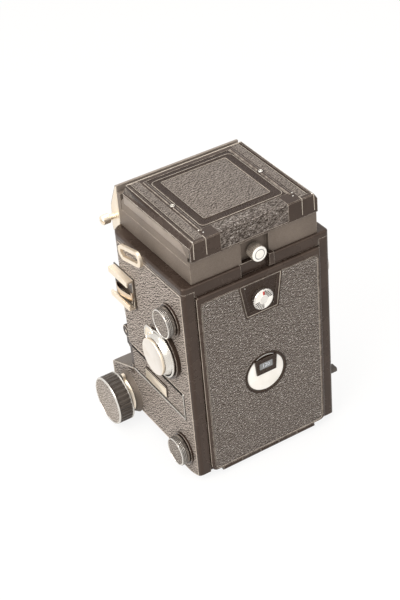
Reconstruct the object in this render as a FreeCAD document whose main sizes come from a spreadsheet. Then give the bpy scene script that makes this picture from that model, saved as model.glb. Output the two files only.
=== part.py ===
import FreeCAD, Part
import Sketcher
import math
import os

# Twin lens reflex camera for roll film, in millimetres.
# Frame: origin at the mouth of the tripod socket, +Z up, the lenses look along -Y,
# +X is the side with the accessory shoe and the film spool knobs.

doc = FreeCAD.newDocument("TwinLensCamera")
sheet = doc.addObject("Spreadsheet::Sheet", "Dims")

SIZES = [
    # body
    ("bodyWidth", 98, "outside width over the side covers"),
    ("bodyDepth", 81, "front plane to rear plane"),
    ("socketToRear", 42, "tripod socket to rear plane"),
    ("bodyTop", 140.3, "height of the top plate"),
    ("sideBottom", 9.3, "height of the lower edge of the side covers"),
    ("cornerRadius", 8, "front upright corners"),
    ("rearRound", 2.4, "rear upright corners"),
    ("edgeRound", 1.2, "edges of the top plate and the door"),
    ("coverWall", 2.4, "wall of the side covers"),
    ("topPlateThick", 3.8, "top plate"),
    ("leatherThick", 0.7, "covering sheet"),
    ("trimWidth", 2.9, "bare metal edge round the covering at the rear"),
    ("channelLow", 40.8, "lower edge of the recessed band on the side"),
    ("channelHigh", 60.2, "upper edge of the recessed band on the side"),
    ("channelRearInset", 11.6, "recessed band to rear plane"),
    ("channelDeep", 1.2, "depth of the recessed band"),
    # film chamber
    ("lobeRadius", 16, "lower rear lobe round the supply spool"),
    ("rearCurve", 32, "underside curve behind the lobe"),
    ("spoolInset", 16.4, "spool axis to rear plane"),
    ("spoolSpan", 95.5, "between the two spool axes"),
    ("bayRadius", 13.4, "spool bay"),
    ("bayWidth", 67, "inside width of the spool bays"),
    ("chassisWall", 2.5, "wall of the casting beside the spool bays"),
    ("bayDropRear", 6.5, "height of the lower bay's floor at the rear"),
    ("gateSize", 56, "film gate, square"),
    ("filmInset", 4.5, "film plane to rear plane"),
    ("doorSeatInset", 2.5, "door seat to rear plane"),
    ("rollerRadius", 2.3, "film rollers"),
    ("rollerInset", 3.6, "film roller axis to the gate's edge"),
    ("lightBoxWidth", 64, "exposure chamber"),
    ("lightBoxHeight", 62, "exposure chamber"),
    ("lightBoxInset", 10.5, "end of the exposure chamber to rear plane"),
    # reflex finder
    ("lensSpacing", 50, "viewing lens above taking lens"),
    ("mirrorWidth", 60, "mirror"),
    ("mirrorThick", 1.8, "mirror"),
    ("mirrorChamberLow", 98.2, "floor of the mirror chamber"),
    ("mirrorSeatRise", 106.9, "height of the mirror seat's slope at the socket"),
    ("screenWidth", 61, "ground glass"),
    ("screenFront", -26.5, "ground glass"),
    ("screenRear", 30.5, "ground glass"),
    ("screenThick", 1.8, "ground glass"),
    ("screenLedge", 2, "ledge under the ground glass"),
    # focusing bed
    ("bedReach", 22, "bed in front of the body"),
    ("bedTopRear", 37.2, "cheek height at the body"),
    ("bedTopFront", 28, "cheek height at the front"),
    ("bedCorner", 4.7, "lower front corner of the cheeks"),
    ("bedFloor", 5.6, "underside of the floor plate"),
    ("plateThick", 1.8, "floor plate"),
    ("focusAxisY", -39.5, "focusing shaft"),
    ("focusAxisZ", 17.1, "focusing shaft"),
    ("focusShaftRadius", 3, "focusing shaft"),
    ("runningFit", 0.06, "radial clearance of shafts in bearings"),
    ("toothModule", 1, "rack and pinions"),
    ("pinionTeeth", 16, "pinions"),
    ("rackWidth", 4, "face width of rack and pinions"),
    ("rackCentre", 32, "rack from the middle plane"),
    ("rackRear", 8, "rear end of the racks"),
    ("rackHigh", 30.2, "upper face of the racks"),
    ("backlash", 0.3, "play between rack and pinion"),
    ("focusKnobRadius", 15.9, "focusing knobs"),
    ("focusKnobInner", 55.3, "focusing knob, inner face"),
    ("focusKnobOuter", 66.4, "focusing knob, outer face"),
    ("focusFlutes", 30, "flutes round a focusing knob"),
    ("bossRadius", 14.4, "cone behind the focusing knobs"),
    # front standard and lenses
    ("standardWidth", 73, "front standard"),
    ("standardLow", 41, "front standard"),
    ("standardHigh", 129, "front standard"),
    ("standardRear", -52, "front standard"),
    ("standardThick", 3.5, "front standard"),
    ("boardThick", 1.5, "lens board"),
    ("bellowsHalf", 31, "outer half width of the bellows"),
    ("bellowsFold", 4, "depth of a fold"),
    ("bellowsFolds", 9, "folds"),
    ("bellowsWall", 1.6, "radial thickness of the bellows cloth"),
    ("shutterRadius", 24, "shutter housing"),
    ("barrelRadius", 20.5, "taking lens barrel"),
    ("lensFront", -67, "front rim of the lenses"),
    ("glassRadius", 12.5, "front lens elements"),
    # back door
    ("doorWidth", 82.8, "back door"),
    ("doorLow", 4.9, "back door"),
    ("doorHigh", 132.5, "back door"),
    ("doorOuter", 44, "outer face of the back door"),
    ("doorRim", 2.3, "metal rim round the door covering"),
    ("doorGap", 0.3, "clearance round the door"),
    ("hingeY", 41.6, "door hinge"),
    ("hingeZ", 2.9, "door hinge"),
    ("hingeRadius", 1.6, "door hinge knuckles"),
    ("hingePinRadius", 0.75, "hinge pins"),
    ("dialCentreZ", 115.5, "reminder dial on the door"),
    ("dialRadius", 6.7, "reminder dial"),
    ("windowCentreZ", 61.7, "round film window on the door"),
    ("windowRadius", 12.2, "round film window disc"),
    # hood
    ("hoodHalf", 41.9, "half width of the hood base"),
    ("hoodFront", -37.9, "hood base"),
    ("hoodRear", 40.3, "hood base"),
    ("hoodBaseHigh", 151.9, "hood base"),
    ("hoodSideHigh", 163, "hood side walls"),
    ("lidFront", -31.1, "hood lid"),
    ("lidRear", 42, "hood lid"),
    ("lidLow", 163.3, "lower edge of the lid"),
    ("lidHighFront", 168.8, "lid height at the front"),
    ("lidHighRear", 167.3, "lid height at the rear"),
    ("lidHingeY", -33.3, "lid hinge"),
    ("lidHingeZ", 164.4, "lid hinge"),
    ("finderHalf", 27.6, "sports finder door, half width"),
    ("finderFront", -27, "sports finder door"),
    ("finderRear", 32, "sports finder door"),
    # knobs on the sides
    ("spoolKnobRadius", 9.2, "spool knobs"),
    ("spoolKnobOuter", 56, "face of the spool knobs"),
    ("spoolKnobTravel", 7, "pull of the spool knobs"),
    ("lockDialY", 15.4, "lens lock dial"),
    ("lockDialZ", 83, "lens lock dial"),
    ("lockDialRadius", 16.5, "lens lock dial"),
    ("shoeRear", -16.4, "stop end of the accessory shoe"),
    ("shoeFront", -38.4, "open end of the accessory shoe"),
    ("shoeLow", 94.8, "accessory shoe"),
    ("shoeHigh", 115.2, "accessory shoe"),
    ("crankReach", 31, "winding crank, shaft to handle"),
    # underside
    ("footWidth", 58, "foot plate"),
    ("footFront", -28, "foot plate"),
    ("footRear", 10, "foot plate"),
    ("bushRadius", 6, "tripod bush"),
    ("bushDeep", 8, "tripod bush"),
    ("tripodRadius", 3.175, "quarter inch tripod thread"),
]


class Size:
    """A number together with the sheet expression that it comes from."""

    def __init__(self, text, value):
        self.text = text
        self.value = float(value)

    def __add__(self, other):
        return combined(self, "+", other)

    def __radd__(self, other):
        return combined(other, "+", self)

    def __sub__(self, other):
        return combined(self, "-", other)

    def __rsub__(self, other):
        return combined(other, "-", self)

    def __mul__(self, other):
        return combined(self, "*", other)

    def __rmul__(self, other):
        return combined(other, "*", self)

    def __truediv__(self, other):
        return combined(self, "/", other)

    def __neg__(self):
        return Size("(-%s)" % self.text, -self.value)

    def __float__(self):
        return self.value


def as_size(number):
    return number if isinstance(number, Size) else Size("(%.6g)" % number, number)


def combined(left, sign, right):
    a, b = as_size(left), as_size(right)
    results = {"+": a.value + b.value, "-": a.value - b.value, "*": a.value * b.value}
    value = results[sign] if sign in results else a.value / b.value
    return Size("(%s %s %s)" % (a.text, sign, b.text), value)


def root_of(size):
    return Size("sqrt(%s)" % size.text, math.sqrt(size.value))


class Named:
    pass


d = Named()
for row, (name, value, note) in enumerate(SIZES, start=1):
    sheet.set("A%d" % row, name)
    sheet.set("B%d" % row, "%g" % value)
    sheet.setAlias("B%d" % row, name)
    sheet.set("C%d" % row, note)
doc.recompute()
for name, value, note in SIZES:
    setattr(d, name, Size("Dims.%s" % name, sheet.get(name)))

# places that several pieces share
half = d.bodyWidth / 2
inner = d.bayWidth / 2 + d.chassisWall
rear = d.socketToRear
front = rear - d.bodyDepth
spoolY = rear - d.spoolInset
boxFloor, boxBottom = d.mirrorChamberLow - 1.6, d.rackHigh + 0.8
spoolLow = d.lobeRadius
spoolHigh = spoolLow + d.spoolSpan
lensLow = spoolLow + d.spoolSpan / 2
lensHigh = lensLow + d.lensSpacing
filmY = rear - d.filmInset
doorSeat = rear - d.doorSeatInset
coverTop = d.bodyTop - d.topPlateThick
bedFront = front - d.bedReach
lobeFrontY = spoolY - root_of(d.lobeRadius * d.lobeRadius
                              - (spoolLow - d.sideBottom) * (spoolLow - d.sideBottom))
pitchRadius = d.toothModule * d.pinionTeeth / 2
boardFront = d.standardRear - d.standardThick - d.boardThick
bellowsBore = d.bellowsHalf - d.bellowsFold - d.bellowsWall
dialShaft, dialShaftReach = 4, 5
ringRadius = d.spoolKnobRadius + 1
axleRadius = 3.5
crankAxle = 4.5
keyHalf = 0.8
pinRadius = 2.9
spoolHalf = d.bayWidth / 2 - 0.55
pivotY = rear - 8
pivotZ = d.channelLow - 8
filterRadius = 20.25
rackFront = d.standardRear + 2
releaseX = -22
releaseZ = d.bedFloor + 8.4
bailY = d.standardRear - d.standardThick / 2
bailZ = lensLow - 6
stripLow, stripHigh = d.channelLow + 2.9, d.channelHigh - 7.7
stripFront, stripRear = d.lockDialY - 30.6, d.lockDialY - 5.4

# places on the hood
blockHalf = d.hoodHalf - 0.3
clampY, clampZ = front - 6, d.bodyTop + 2.2
hoodOpenHalf = d.hoodHalf - 5.4
flapY, flapZ, flapHalf = d.hoodRear - 2.8, d.hoodBaseHigh + 2.3, 33
knobZ = d.bodyTop + 5.2
ceiling = d.lidHighRear - 1
lidAbove = d.lidHighFront + 1.2
wingX, wingZ = d.hoodHalf - 4.8, ceiling - 2.2
armY, armZ = -12, ceiling - 5.7
finderZ = d.lidHighFront - 0.9


def curve_height(y):
    """Height of the underside curve behind the lobe."""
    return d.rearCurve - root_of(d.rearCurve * d.rearCurve - (y - spoolY) * (y - spoolY))


# ---- helpers -------------------------------------------------------------------------

NODES = {}
CUTTERS = []
AXES = {"X": FreeCAD.Rotation(FreeCAD.Vector(0, 1, 0), 90),
        "Y": FreeCAD.Rotation(FreeCAD.Vector(1, 0, 0), -90),
        "Z": FreeCAD.Rotation()}


def keep(label, obj):
    """Give an object its own label and enter it as a sub-part."""
    obj.Label = label
    NODES[label] = obj
    return obj


def bind(obj, prop, size):
    obj.setExpression(prop, as_size(size).text)


def origin_feature(body, role):
    return [o for o in body.Origin.OriginFeatures if o.Role == role][0]


def new_body(name):
    return doc.addObject("PartDesign::Body", name)


def new_sketch(body, plane, offset):
    sketch = body.newObject("Sketcher::SketchObject", "Sketch")
    sketch.AttachmentSupport = [(origin_feature(body, plane + "_Plane"), "")]
    sketch.MapMode = "FlatFace"
    bind(sketch, "AttachmentOffset.Base.z", offset)
    return sketch


def pin_point(sketch, geo, pos, x, y):
    """Fix one sketch point at sheet-driven coordinates."""
    for kind, size in (("DistanceX", as_size(x)), ("DistanceY", as_size(y))):
        number = sketch.addConstraint(Sketcher.Constraint(kind, -1, 1, geo, pos, size.value))
        sketch.setExpression("Constraints[%d]" % number, size.text)


def draw_circle(sketch, x, y, radius):
    cx, cy, r = float(as_size(x)), float(as_size(y)), as_size(radius)
    geo = sketch.addGeometry(Part.Circle(FreeCAD.Vector(cx, cy, 0), FreeCAD.Vector(0, 0, 1), r.value))
    pin_point(sketch, geo, 3, x, y)
    number = sketch.addConstraint(Sketcher.Constraint("Radius", geo, r.value))
    sketch.setExpression("Constraints[%d]" % number, r.text)


def arc_between(p, q, bend):
    """Arc from p to q; a positive radius turns left."""
    dx, dy = q[0] - p[0], q[1] - p[1]
    chord = math.hypot(dx, dy)
    rise = math.sqrt(max(bend * bend - chord * chord / 4, 0.0)) * (1 if bend > 0 else -1)
    cx = (p[0] + q[0]) / 2 - dy / chord * rise
    cy = (p[1] + q[1]) / 2 + dx / chord * rise
    start, end = (p, q) if bend > 0 else (q, p)
    a0 = math.atan2(start[1] - cy, start[0] - cx)
    a1 = math.atan2(end[1] - cy, end[0] - cx)
    if a1 < a0:
        a1 += 2 * math.pi
    circle = Part.Circle(FreeCAD.Vector(cx, cy, 0), FreeCAD.Vector(0, 0, 1), abs(bend))
    return Part.ArcOfCircle(circle, a0, a1)


def draw_outline(sketch, corners):
    """Closed outline. A corner is (x, y), or (x, y, bend) when an arc leaves it."""
    points = [(float(as_size(c[0])), float(as_size(c[1]))) for c in corners]
    ends = []
    for i, corner in enumerate(corners):
        p, q = points[i], points[(i + 1) % len(points)]
        if len(corner) == 3:
            bend = as_size(corner[2])
            geo = sketch.addGeometry(arc_between(p, q, bend.value))
            number = sketch.addConstraint(Sketcher.Constraint("Radius", geo, abs(bend.value)))
            sketch.setExpression("Constraints[%d]" % number, "abs(%s)" % bend.text)
            ends.append((geo, 1, 2) if bend.value > 0 else (geo, 2, 1))
        else:
            line = Part.LineSegment(FreeCAD.Vector(p[0], p[1], 0), FreeCAD.Vector(q[0], q[1], 0))
            ends.append((sketch.addGeometry(line), 1, 2))
    for i, corner in enumerate(corners):
        before, here = ends[i - 1], ends[i]
        sketch.addConstraint(Sketcher.Constraint("Coincident", before[0], before[2], here[0], here[1]))
        pin_point(sketch, here[0], here[1], corner[0], corner[1])


def draw(sketch, shapes):
    for shape in shapes:
        if shape[0] == "circle":
            draw_circle(sketch, *shape[1:])
        else:
            draw_outline(sketch, shape)


def pad(body, plane, shapes, start, end):
    """Add material between two positions along the plane's axis."""
    sketch = new_sketch(body, plane, -as_size(end) if plane == "XZ" else start)
    draw(sketch, shapes)
    feature = body.newObject("PartDesign::Pad", "Pad")
    feature.Profile = sketch
    bind(feature, "Length", as_size(end) - start)
    return feature


def pocket(body, plane, shapes, start, end):
    """Take material away between two positions along the plane's axis."""
    sketch = new_sketch(body, plane, -as_size(start) if plane == "XZ" else end)
    draw(sketch, shapes)
    feature = body.newObject("PartDesign::Pocket", "Pocket")
    feature.Profile = sketch
    bind(feature, "Length", as_size(end) - start)
    CUTTERS.append(feature)
    return feature


def rect(x0, x1, y0, y1):
    return [(x0, y0), (x1, y0), (x1, y1), (x0, y1)]


def rounded(x0, x1, y0, y1, r):
    """Rectangle with four round corners."""
    x0, x1, y0, y1 = [as_size(v) for v in (x0, x1, y0, y1)]
    return [(x0 + r, y0), (x1 - r, y0, r), (x1, y0 + r), (x1, y1 - r, r),
            (x1 - r, y1), (x0 + r, y1, r), (x0, y1 - r), (x0, y0 + r, r)]


def dome(radius, rise):
    """Radius of the sphere whose cap has a given rim and height."""
    return (radius * radius + rise * rise) / (2 * rise)


def notch_at(radius, deep, wide):
    """Three-cornered groove in a rim, for knurls and flutes."""
    return [(radius - deep, 0), (radius + 0.3, -wide), (radius + 0.3, wide)]


def piece(name, plane, shapes, start, end):
    body = new_body(name)
    pad(body, plane, shapes, start, end)
    return body


def padded(label, plane, shapes, start, end):
    return keep(label, piece(label, plane, shapes, start, end))


def turned(label, axis, corners, y=0, z=0, x=0):
    return keep(label, turned_piece(label, axis, corners, y, z, x))


def turned_piece(name, axis, corners, y=0, z=0, x=0):
    """Revolve an outline given as (along the axis, radius)."""
    body = new_body(name)
    sketch = new_sketch(body, "XZ" if axis == "Z" else "XY", 0)
    if axis == "X":
        draw_outline(sketch, corners)
    else:
        flipped = [(c[1], c[0]) + tuple(-as_size(b) for b in c[2:]) for c in corners]
        draw_outline(sketch, flipped)
    feature = body.newObject("PartDesign::Revolution", "Revolution")
    feature.Profile = sketch
    feature.ReferenceAxis = (sketch, ["H_Axis" if axis == "X" else "V_Axis"])
    feature.Angle = 360
    for prop, size in (("x", x), ("y", y), ("z", z)):
        bind(body, "Placement.Base." + prop, size)
    return body


def repeat_round(body, feature, axis, count):
    pattern = body.newObject("PartDesign::PolarPattern", "PolarPattern")
    pattern.Originals = [feature]
    pattern.Axis = (origin_feature(body, axis + "_Axis"), [""])
    pattern.Angle = 360
    bind(pattern, "Occurrences", count)
    body.Tip = pattern
    return pattern


def edges_where(shape, test):
    return ["Edge%d" % (i + 1) for i, edge in enumerate(shape.Edges) if test(edge)]


def along(edge, axis):
    """True for a straight edge along an axis."""
    if edge.Curve.TypeId != "Part::GeomLine":
        return False
    return abs(getattr(edge.Curve.Direction, axis.lower())) > 0.999


def dress(body, kind, size, test):
    """Fillet or chamfer the edges of the body's tip that pass a test."""
    doc.recompute()
    base = body.Tip
    names = edges_where(base.Shape, test)
    feature = body.newObject("PartDesign::" + kind, kind)
    feature.Base = (base, names)
    bind(feature, "Radius" if kind == "Fillet" else "Size", size)
    return feature


def block(name, xs, ys, zs):
    box = doc.addObject("Part::Box", name)
    for prop, place, (low, high) in (("Length", "x", xs), ("Width", "y", ys), ("Height", "z", zs)):
        bind(box, prop, as_size(high) - low)
        bind(box, "Placement.Base." + place, low)
    return box


def rod(name, axis, centre, radius, start, end):
    """Cylinder along an axis; centre holds the two other coordinates in X, Y, Z order."""
    cylinder = doc.addObject("Part::Cylinder", name)
    cylinder.Placement = FreeCAD.Placement(FreeCAD.Vector(), AXES[axis])
    bind(cylinder, "Radius", radius)
    bind(cylinder, "Height", as_size(end) - start)
    places = {"X": (start,) + tuple(centre), "Y": (centre[0], start, centre[1]),
              "Z": tuple(centre) + (start,)}[axis]
    for prop, size in zip("xyz", places):
        bind(cylinder, "Placement.Base." + prop, size)
    return cylinder


def cut(name, base, tools):
    result = doc.addObject("Part::Cut", name)
    result.Base = base
    result.Tool = tools[0] if len(tools) == 1 else fused(name + "_tools", tools)
    return result


def fused(name, parts):
    result = doc.addObject("Part::MultiFuse", name)
    result.Shapes = parts
    return result


def gathered(name, parts):
    result = doc.addObject("Part::Compound", name)
    result.Links = parts
    return result


def span(side, near, far):
    """Range along X from near to far on one side of the camera."""
    return (near, far) if side > 0 else (-as_size(far), -as_size(near))


def side_name(side):
    return "left" if side > 0 else "right"


# ---- body ----------------------------------------------------------------------------

def make_castings():
    """Exposure box, the castings of the two spool bays, and the mirror box in front of the slope."""
    box = new_body("chassis")
    pad(box, "XZ", [rect(-inner, inner, boxBottom, boxFloor)], front, doorSeat)
    box_half, box_rise = d.lightBoxWidth / 2, d.lightBoxHeight / 2
    pocket(box, "XZ", [rect(-box_half, box_half, lensLow - box_rise, lensLow + box_rise)],
           front + 2, rear - d.lightBoxInset)
    pocket(box, "XZ", [rect(-bellowsBore, bellowsBore, lensLow - bellowsBore, lensLow + bellowsBore)],
           front, front + 2)
    gate = d.gateSize / 2
    pocket(box, "XZ", [rect(-gate, gate, lensLow - gate, lensLow + gate)],
           rear - d.lightBoxInset, doorSeat)
    lower = new_body("lower_bay_casting")
    trough = d.focusAxisY + pitchRadius + 3.5
    pad(lower, "YZ", [[(trough, d.sideBottom), (lobeFrontY, d.sideBottom, d.lobeRadius),
                       (spoolY, 0, d.rearCurve), (doorSeat, curve_height(doorSeat)),
                       (doorSeat, boxBottom), (trough, boxBottom)]], -inner, inner)
    for side in (1, -1):
        x0, x1 = span(side, d.rackCentre - d.rackWidth / 2 - 0.5, d.rackCentre + d.rackWidth / 2 + 0.5)
        pocket(lower, "XZ", [rect(x0, x1, d.focusAxisZ + pitchRadius - 1.8, boxBottom)],
               trough, d.rackRear + 4)
    upper = new_body("upper_bay_casting")
    rise = d.mirrorSeatRise
    pad(upper, "YZ", [[(boxFloor - rise, boxFloor), (doorSeat, boxFloor), (doorSeat, coverTop),
                       (coverTop - rise, coverTop)]], -inner, inner)
    bay, r = d.bayWidth / 2, d.bayRadius
    pocket(upper, "YZ", [[(doorSeat, spoolHigh + r), (spoolY, spoolHigh + r, r), (spoolY - r, spoolHigh, r),
                          (spoolY, spoolHigh - r), (doorSeat, spoolHigh - r)]], -bay, bay)
    pocket(lower, "YZ", [[(doorSeat, spoolLow + r), (spoolY, spoolLow + r, r), (spoolY - r, spoolLow, r),
                          (spoolY, spoolLow - r), (doorSeat, d.bayDropRear)]], -bay, bay)
    for body, low, high in ((lower, spoolLow + r - 0.9, boxBottom), (box, boxBottom, boxFloor),
                            (upper, boxFloor, spoolHigh - r + 0.9)):
        pocket(body, "XZ", [rect(-bay, bay, low, high)], filmY, doorSeat)
    rollers = list(roller_heights())
    for body, z in ((lower, rollers[0]), (box, rollers[0]), (box, rollers[1]), (upper, rollers[1])):
        pocket(body, "YZ", [("circle", filmY - d.rollerRadius, z, d.rollerRadius + 0.3)], -bay, bay)
    for z in rollers:
        pocket(box, "YZ", [("circle", filmY - d.rollerRadius, z, 1 + d.runningFit)], -bay - 1.6, bay + 1.6)
    for body, z in ((lower, spoolLow), (upper, spoolHigh)):
        pocket(body, "YZ", [("circle", spoolY, z, axleRadius + d.runningFit)], -inner, inner)
    mirror_box = new_body("mirror_box")
    low, wall = d.mirrorChamberLow, 2
    pad(mirror_box, "YZ", [[(front, boxFloor), (boxFloor - rise, boxFloor), (coverTop - rise, coverTop),
                            (front, coverTop)]], -inner, inner)
    wide = d.mirrorWidth / 2 + 1
    pocket(mirror_box, "YZ", [[(front + wall, low), (low - rise + wall, low),
                               (coverTop - rise + wall, coverTop), (front + wall, coverTop)]], -wide, wide)
    pocket(mirror_box, "XZ", [("circle", 0, lensHigh, 14.5)], front, front + wall)
    for body in (box, lower, upper, mirror_box):
        keep(body.Label, body)


def roller_heights():
    return (lensLow - d.gateSize / 2 - d.rollerInset, lensLow + d.gateSize / 2 + d.rollerInset)


def make_rollers():
    bay = d.bayWidth / 2
    for name, z in zip(("lower", "upper"), roller_heights()):
        turned("film_roller_" + name, "X",
               [(-bay - 1.4, 0), (bay + 1.4, 0), (bay + 1.4, 1), (bay - 0.3, 1),
                (bay - 0.3, d.rollerRadius), (-bay + 0.3, d.rollerRadius), (-bay + 0.3, 1), (-bay - 1.4, 1)],
               y=filmY - d.rollerRadius, z=z)


def side_outline(low_lip=0):
    """Side view of a cover, from the bed at the front round the lobe to the rear."""
    lip = as_size(low_lip)
    return [(bedFront + d.bedCorner, d.sideBottom), (lobeFrontY, d.sideBottom, d.lobeRadius),
            (spoolY, 0, d.rearCurve), (rear, curve_height(rear)), (rear, coverTop),
            (front, coverTop), (front, d.bedTopRear), (bedFront, d.bedTopFront),
            (bedFront, d.sideBottom + d.bedCorner, d.bedCorner)]


def make_leathers(side):
    """Covering sheets of one side: upper round the front corner, lower, and in the channel."""
    name = side_name(side)
    t = d.leatherThick
    r = d.cornerRadius
    x0, x1 = half - t, half
    edge = rear - d.trimWidth
    low = (d.channelHigh if side > 0 else d.channelLow) + 0.3
    corner = half - r
    sign = 1 if side > 0 else -1
    wrap = [(x1, edge), (x0, edge), (x0, front + r, -(r - t)), (corner, front + t), (corner - 3, front + t),
            (corner - 3, front), (corner, front, r), (x1, front + r)]
    mirrored = [(sign * as_size(c[0]), c[1]) + tuple(sign * as_size(b) for b in c[2:]) for c in wrap]
    upper = piece(name + "_upper_sheet", "XY", [mirrored], low, coverTop - 2)
    rim = 0.7
    foot = d.sideBottom + rim
    arc_front = spoolY - root_of((d.lobeRadius - rim) * (d.lobeRadius - rim)
                                 - (spoolLow - foot) * (spoolLow - foot))
    curve = d.rearCurve - rim
    rear_z = d.rearCurve - root_of(curve * curve - (edge - spoolY) * (edge - spoolY))
    xs = span(side, x0, x1)
    corner_end = front + r + 0.5
    lower = piece(name + "_lower_sheet", "YZ",
                  [[(bedFront + d.bedCorner, foot), (arc_front, foot, d.lobeRadius - rim),
                    (spoolY, rim, curve), (edge, rear_z), (edge, d.channelLow - 0.3),
                    (corner_end, d.channelLow - 0.3), (corner_end, d.bedTopRear - 1.2),
                    (front, d.bedTopRear - 1.2),
                    (bedFront + rim, d.bedTopFront - rim),
                    (bedFront + rim, d.sideBottom + d.bedCorner, d.bedCorner - rim)]], *xs)
    if side > 0:
        upper_holes = [("circle", spoolY, spoolHigh, ringRadius),
                       ("circle", d.lockDialY, d.lockDialZ, d.lockDialRadius)]
        lower_holes = [("circle", spoolY, spoolLow, ringRadius)]
    else:
        upper_holes = [("circle", spoolY, spoolHigh, crankAxle + d.runningFit)]
        lower_holes = [("circle", pivotY, pivotZ, 1.5 + d.runningFit)]
    lower_holes.append(("circle", d.focusAxisY, d.focusAxisZ, d.focusShaftRadius + 0.2))
    for sheet_piece, holes in ((upper, upper_holes), (lower, lower_holes)):
        for hole in holes:
            pocket(sheet_piece, "YZ", [hole], *xs)
    return [upper, lower]


def make_side_cover(side):
    """Shell of one side with its part of the focusing bed; gives back its covering sheets."""
    name = side_name(side)
    sheets = make_leathers(side)
    body = new_body(name + "_shell")
    pad(body, "YZ", [side_outline()], *span(side, inner, half))
    outer = half.value
    dress(body, "Fillet", d.cornerRadius, lambda e: along(e, "Z") and near(e, x=outer, y=front))
    dress(body, "Fillet", 2.5, lambda e: along(e, "Z") and near(e, x=outer, y=bedFront))
    dress(body, "Fillet", d.rearRound, lambda e: along(e, "Z") and near(e, x=outer, y=rear))
    seat = d.doorWidth / 2 + d.doorGap
    pocket(body, "XY", [rect(*span(side, inner, seat), doorSeat, rear + 1)], 0, coverTop)
    pocket(body, "XZ", [rounded(*span(side, inner - 0.01, half - d.coverWall), d.channelLow + 2,
                                coverTop - 2, 1)], front + d.cornerRadius - 2, filmY)
    bore = (axleRadius if side > 0 else crankAxle) + d.runningFit
    pad(body, "YZ", [("circle", spoolY, spoolHigh, bore + 2)], *span(side, inner, half - 1))
    holes = [("circle", d.focusAxisY, d.focusAxisZ, d.focusShaftRadius + d.runningFit),
             ("circle", spoolY, spoolHigh, bore)]
    if side > 0:
        holes.append(("circle", spoolY, spoolLow, bore))
        for z in (spoolLow, spoolHigh):
            pad(body, "YZ", [("circle", spoolY, z, ringRadius)], half - 1, half + 1.5)
        pad(body, "YZ", [("circle", d.lockDialY, d.lockDialZ, dialShaft + 2.5)], inner, half - 1)
        pad(body, "YZ", [("circle", d.lockDialY, d.lockDialZ, d.lockDialRadius)], half - 1, half + 2.8)
        pocket(body, "YZ", [("circle", d.lockDialY, d.lockDialZ, dialShaft + d.runningFit)],
               half - dialShaftReach - 0.2, half + 2.8)
    for hole in holes:
        pocket(body, "YZ", [hole], *span(side, inner, half + 3))
    floor = half - d.channelDeep
    if side > 0:
        pocket(body, "YZ", [rounded(front - 1, rear - d.channelRearInset, d.channelLow, d.channelHigh, 1.5)],
               floor, half)
        strip = rounded(stripFront, stripRear, stripLow, stripHigh, 1)
        pad(body, "YZ", [strip], floor - 0.2, floor + 1.4)
        end = rear - d.channelRearInset - 2
        channel = piece("left_channel_sheet", "YZ",
                        [rect(front + d.cornerRadius, end, d.channelLow + 0.8, d.channelHigh - 0.8)],
                        floor, floor + 0.5)
        pocket(channel, "YZ", [strip], floor, floor + 0.5)
    else:
        pocket(body, "YZ", [("circle", pivotY, pivotZ, 1.5 + d.runningFit)], -half, -half + 8)
    keep(name + "_side_cover", cut(name + "_side_cover", body, sheets))
    return sheets + [channel] if side > 0 else sheets


def near(edge, x=None, y=None, z=None, gap=0.05):
    """True when the edge's middle lies at the given coordinates; x also on the other side."""
    middle = edge.valueAt((edge.FirstParameter + edge.LastParameter) / 2)
    if x is not None and abs(abs(middle.x) - abs(float(x))) > gap:
        return False
    if y is not None and abs(middle.y - float(y)) > gap:
        return False
    return z is None or abs(middle.z - float(z)) < gap


def make_top_plate():
    body = new_body("top_plate")
    r = d.cornerRadius
    pad(body, "XY", [[(-half, rear), (-half, front + r, r), (-half + r, front), (half - r, front, r),
                      (half, front + r), (half, rear)]], coverTop, d.bodyTop)
    dress(body, "Fillet", d.rearRound, lambda e: along(e, "Z") and near(e, x=half, y=rear))
    dress(body, "Fillet", d.edgeRound, lambda e: near(e, z=d.bodyTop))
    seat = d.doorWidth / 2
    pad(body, "XZ", [rect(-seat, seat, d.doorHigh + d.doorGap, coverTop + 1)], doorSeat, rear)
    wide, y0, y1 = d.screenWidth / 2, d.screenFront, d.screenRear
    ledge = d.screenLedge
    pocket(body, "XY", [rect(-wide - 0.2, wide + 0.2, y0 - 0.2, y1 + 0.2)], d.bodyTop - d.screenThick, d.bodyTop)
    pocket(body, "XY", [rect(-wide + ledge, wide - ledge, y0 + ledge, y1 - ledge)], coverTop, d.bodyTop)
    pocket(body, "XZ", [rect(-10.9, 10.9, d.doorHigh, d.bodyTop)], rear - 1.6, rear)
    return keep("top_plate", body)


def make_screen():
    wide = d.screenWidth / 2
    padded("ground_glass", "XY", [rect(-wide, wide, d.screenFront, d.screenRear)],
           d.bodyTop - d.screenThick, d.bodyTop - 0.1)


def make_mirror():
    """Mirror on its slope, front face up and forward."""
    low, rise = d.mirrorChamberLow + 0.3, d.mirrorSeatRise
    lift = d.mirrorThick * math.sqrt(2)
    top = coverTop - 3
    half_width = d.mirrorWidth / 2
    padded("mirror", "YZ", [[(low - rise, low), (top - rise, top), (top - rise - lift / 2, top + lift / 2),
                             (low - rise - lift, low)]], -half_width, half_width)


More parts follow.
